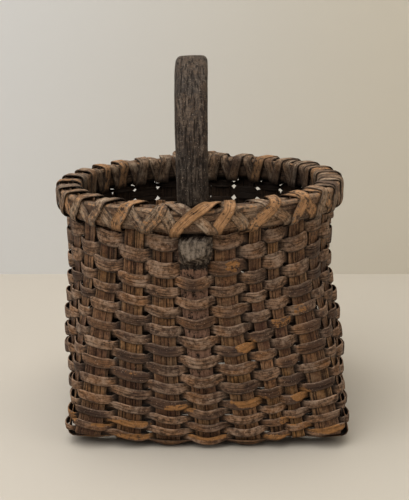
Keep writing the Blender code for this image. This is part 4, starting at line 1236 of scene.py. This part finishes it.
# Facets that the knife left round the knob's flat face: which way each one faces, a point on
# its upper border from the knob's middle and from the ground, and how steeply it falls away.
KNOB_FACETS = (
    ((1.0, 0.0), (0.0082, 0.157), 0.75),
    ((-1.0, 0.0), (-0.0093, 0.157), 0.9),
    ((0.0, 1.0), (0.0, 0.1639), 0.9),
    ((0.337, -0.941), (-0.0035, 0.1496), 1.5),
    ((-0.813, -0.582), (-0.0035, 0.1496), 1.1),
)
TAIL_OUTER = FACE_OF_STAKE + TAIL_THICKNESS
TAIL_WIDTH_AT_KNOB = 0.0206
TAIL_WIDTH_AT_END = 0.0165
TAIL_EASE = 0.0005
TAIL_STEP = 0.003
ARCH_SQUARENESS_SHARE = 2.15
ARCH_STATIONS = 150
OUTER_POINTS = 19
INNER_POINTS = 11
ON_OUTER_SIDE = np.arange(OUTER_POINTS + INNER_POINTS) < OUTER_POINTS
OFF_KNOB = np.full(OUTER_POINTS + INNER_POINTS, -1.0)


def corner_drop(across, half, ease):
    """How far a rounded corner of this ease falls away at each place across a section."""
    into = np.clip((np.abs(across) - (half - ease)) / ease, 0, 1)
    return ease * (1 - np.sqrt(1 - into**2))


def handle_section(half, inner, outer, outer_ease, inner_ease, crown=0.0):
    """Outline of the handle: points across its outer side and back along its inner side."""
    out_across = half * np.sin(np.linspace(-math.pi / 2, math.pi / 2, OUTER_POINTS))
    in_across = half * np.sin(np.linspace(math.pi / 2, -math.pi / 2, INNER_POINTS))
    out_drop = corner_drop(out_across, half, outer_ease) + crown * (out_across / half) ** 2
    in_rise = corner_drop(in_across, half, inner_ease)
    across = np.concatenate((out_across, in_across))
    return across, np.concatenate((outer - out_drop, inner + in_rise))


def whittled(across, through, height, knob_end):
    """A section of the knob with its outer side cut by the knife, and how deep each cut is."""
    cut = np.zeros_like(across)
    for (way_x, way_z), (from_x, from_z), slope in KNOB_FACETS:
        past = way_x * (across - from_x) + way_z * (height - from_z)
        cut = np.maximum(cut, slope * past)
    rough = KNOB_ROUGHNESS * wander(int(height * 20000), len(across), 2)
    lip = KNOB_LIP_SLOPE * max(0.0, knob_end + KNOB_LIP - height)
    outer = np.maximum(np.minimum(through + rough - lip, KNOB_FACE - cut), KNOB_INNER + KNOB_EASE)
    return np.where(ON_OUTER_SIDE, outer, through), cut * ON_OUTER_SIDE


def handle_end(at, hand):
    """Sections of one end, from the tip of its tail up to the top of the rim."""
    knob_end = KNOB_BOTTOMS[at]
    foot = HANDLE_FOOT_WIDTH / 2
    face = FACE_OF_STAKE
    sections = [(TAIL_END_HEIGHT, face, TAIL_OUTER - 0.0008, TAIL_WIDTH_AT_END * 0.45, 0.0003)]
    for height in np.arange(TAIL_END_HEIGHT + 0.001, knob_end - 0.0015, TAIL_STEP):
        share = (height - TAIL_END_HEIGHT) / (knob_end - TAIL_END_HEIGHT)
        half = (TAIL_WIDTH_AT_END * (1 - share) + TAIL_WIDTH_AT_KNOB * share) / 2
        sections.append((height, face, TAIL_OUTER, half, TAIL_EASE))
    root = (face, TAIL_OUTER + 0.0003, TAIL_WIDTH_AT_KNOB / 2, NECK_EASE)
    sections.append((knob_end - 0.0008, *root))
    for height in np.arange(knob_end, WEAVE_TOP, KNOB_STEP):
        half = np.interp(height - knob_end, KNOB_HEIGHTS, KNOB_HALF_WIDTHS)
        sections.append((height, KNOB_INNER, KNOB_FACE, half, KNOB_EASE))
    sections += [
        (WEAVE_TOP, KNOB_INNER, NECK_OUTER, foot, NECK_EASE),
        (HOOP_BOTTOM, face, NECK_OUTER, foot, NECK_EASE),
        (RIM_TOP - 0.001, face, NECK_OUTER, foot, NECK_EASE),
        (RIM_TOP + 0.0006, face, HANDLE_OUTER - 0.0008, foot, HANDLE_OUTER_EASE),
    ]
    rings, widths, cuts = [], [], []
    for height, inner, outer, half, ease in sections:
        across, through = handle_section(half, inner, outer, ease, min(ease, KNOB_EASE))
        cut, shift = OFF_KNOB, 0.0
        if knob_end <= height < WEAVE_TOP:
            shift = KNOB_SHIFT
            through, cut = whittled(across + shift, through, height, knob_end)
        (centre,), (normal,), (side,) = UPRIGHTS[at].at(height)
        rings.append(centre + hand * side * (across + shift)[:, None] + normal * through[:, None])
        widths.append(across + 0.7 * through)
        cuts.append(cut)
    return rings, widths, cuts


def handle_bow():
    """Sections of the bow, from the front of the rim over to the back."""
    half_span = RIM_RADIUS * math.cos(ANGLES[0])
    rise = HANDLE_TOP - HANDLE_OUTER - BOW_FOOT
    power = 2 / ARCH_SQUARENESS_SHARE
    rough = wander(77, ARCH_STATIONS + 1, 9)
    eases = (HANDLE_OUTER_EASE, HANDLE_INNER_EASE, HANDLE_CROWN)
    rings, widths = [], []
    for k in range(ARCH_STATIONS + 1):
        turn = math.pi * k / ARCH_STATIONS
        cosine, sine = math.cos(turn), max(math.sin(turn), 0.0)
        along = -math.copysign(abs(cosine) ** power, cosine) * half_span
        forward = -math.copysign(abs(cosine) ** (2 - power), cosine) / half_span
        out = unit(np.array((0.0, forward, sine ** (2 - power) / rise)))
        half = (HANDLE_FOOT_WIDTH * (1 - sine) + HANDLE_WIDTH * sine) / 2 * (1 + 0.012 * rough[k])
        centre = np.array((0.0, along, BOW_FOOT + rise * sine**power))
        outer = FACE_OF_STAKE + HANDLE_THICKNESS * (1 - 0.03 * abs(rough[k]))
        across, through = handle_section(half, FACE_OF_STAKE, outer, *eases)
        sideways = np.array((1.0, 0.0, 0.0)) * across[:, None]
        rings.append(centre + sideways + out * through[:, None])
        widths.append(across + 0.7 * through)
    return rings, widths, [OFF_KNOB] * len(rings)


HANDLE_WOOD = aged_wood(
    "handle_wood",
    base=(0.029, 0.018, 0.011), deep=(0.012, 0.0075, 0.005), bloom=(0.22, 0.175, 0.135),
    warm=(0.075, 0.038, 0.015), rubbed=(0.31, 0.165, 0.105),
    lines=600.0, run=75.0, line_depth=0.95, bump=1.0, blotch=(420.0, 38.0),
)
handle_parts = (handle_end(FRONT_MIDDLE, 1), handle_bow(), upended(handle_end(BACK_MIDDLE, -1)))
handle_rings, handle_widths, handle_cuts = end_to_end(*handle_parts)
handle_heights = handle_rings[..., 2]
off_knob = handle_cuts < 0
# Painted highlight along the ridges between the knob's facets, and faintly along the bow's outer
# corners.
near_ridge = ramp(np.abs(handle_cuts - 0.0004), 0.0007, 0) * ON_OUTER_SIDE
knobs_end = min(KNOB_BOTTOMS.values())
below_knob = ramp(handle_heights, knobs_end + 0.001, knobs_end - 0.001)
corner_places = np.abs(np.linspace(-1, 1, OUTER_POINTS))
outer_corner = np.pad(ramp(np.abs(corner_places - 0.72), 0.14, 0), (0, INNER_POINTS))
# Painted shade low on the bow where it goes behind the hoops, along its outer corners and on its
# inner side.
handle_foot_shade = ramp(handle_heights, RIM_TOP + 0.012, RIM_TOP - 0.018)
high_up = ramp(handle_heights, 0.22, 0.27)
handle_marks = {
    "painted_shade": (0.35 * handle_foot_shade + 0.3 * outer_corner) * off_knob + 0.45 * ~ON_OUTER_SIDE,
    "worn": 0.72 * below_knob,
    "edge": np.where(off_knob, 0.12 * outer_corner, near_ridge),
    "tone": np.where(off_knob, 0.34, np.where(handle_cuts > 0.0005, 1.0, 1.65)),
    # Warmer and lighter high on the bow: a painted brown sheen on its crown. The tail below the
    # knob is warmer from real wear.
    "warm": np.where(off_knob, 0.35 + 0.45 * high_up, 0.2) + 0.3 * below_knob,
}
handle = add_strip("handle_bow", handle_rings, handle_widths, 2.3, handle_marks)
dress(handle, "handle", HANDLE_WOOD)

# Floor, backdrop, lamps and camera, which aren't part of the basket. The camera stands where the
# photograph was taken from, about a metre in front and looking a little down.
# The backdrop's turn from left to right is painted light: lighter and cooler on the left, darker
# and warmer on the right. The floor's two colours are nearly the same.
FLOOR_LEFT, FLOOR_RIGHT = (0.545, 0.5, 0.433), (0.54, 0.5, 0.43)
WALL_LEFT, WALL_RIGHT = (0.7, 0.706, 0.705), (0.648, 0.596, 0.488)
TURN_REACH = 0.35
WALL_DISTANCE = 0.393
STAGE_REACH = 3.0
STAGE_ROUGHNESS = 0.6
ROOM_LIGHT = 0.25
CAMERA_PLACE = (-0.0029, -0.950, 0.369)
CAMERA_PITCH = math.radians(14.2)
FOCAL_PIXELS = 1187.0
PHOTO_LONG_SIDE = 500.0
SENSOR_LONG_SIDE = 36.0


def stage_plane(name, corners, left, right):
    """A matt plane whose colour turns from left to right: on the backdrop a painted fall-off of
    the room's light, darker and warmer on the right.
    """
    material, shader, place = new_material(f"{name}_paint_and_light")
    sideways = place.node("ShaderNodeSeparateXYZ", {"Vector": place})
    colour = sideways.between(-TURN_REACH, TURN_REACH).mixed(left, right)
    colour.feeds(shader.inputs["Base Color"])
    shader.inputs["Roughness"].default_value = STAGE_ROUGHNESS
    mesh = bpy.data.meshes.new(name)
    mesh.from_pydata(corners, [], [(0, 1, 2, 3)])
    mesh.materials.append(material)
    made = linked(name, mesh)


def area_lamp(name, place, aim, power, size, colour):
    lamp = bpy.data.lights.new(name, "AREA")
    lamp.energy = power
    lamp.size = size
    lamp.color = colour
    made = linked(name, lamp)
    made.location = place
    made.rotation_mode = "QUATERNION"
    made.rotation_quaternion = (Vector(aim) - Vector(place)).to_track_quat("-Z", "Y")


reach = STAGE_REACH
back = WALL_DISTANCE
floor_corners = [(-reach, -reach, 0), (reach, -reach, 0), (reach, back, 0), (-reach, back, 0)]
stage_plane("floor", floor_corners, FLOOR_LEFT, FLOOR_RIGHT)
wall_corners = [(-reach, back, 0), (reach, back, 0), (reach, back, reach), (-reach, back, reach)]
stage_plane("backdrop", wall_corners, WALL_LEFT, WALL_RIGHT)
area_lamp("key_lamp", (-0.7, -0.75, 1.42), (0, 0, 0.1), 23.3, 1.8, (1.0, 0.985, 0.96))
area_lamp("fill_lamp", (1.2, -0.8, 0.9), (0, 0, 0.1), 3.6, 1.0, (1.0, 0.92, 0.82))
area_lamp("top_lamp", (-0.05, 0.4, 1.45), (0, 0.05, 0), 17.5, 1.3, (1.0, 0.97, 0.93))

world = bpy.data.worlds.new("room")
world.use_nodes = True
world.node_tree.nodes["Background"].inputs["Color"].default_value = (1.0, 0.97, 0.93, 1.0)
world.node_tree.nodes["Background"].inputs["Strength"].default_value = ROOM_LIGHT
bpy.context.scene.world = world

camera_data = bpy.data.cameras.new("camera")
camera_data.lens = FOCAL_PIXELS / PHOTO_LONG_SIDE * SENSOR_LONG_SIDE
camera_data.sensor_width = SENSOR_LONG_SIDE
camera = linked("camera", camera_data)
camera.location = CAMERA_PLACE
camera.rotation_euler = (math.pi / 2 - CAMERA_PITCH, 0, 0)
bpy.context.scene.camera = camera
bpy.context.scene.view_settings.view_transform = "Standard"
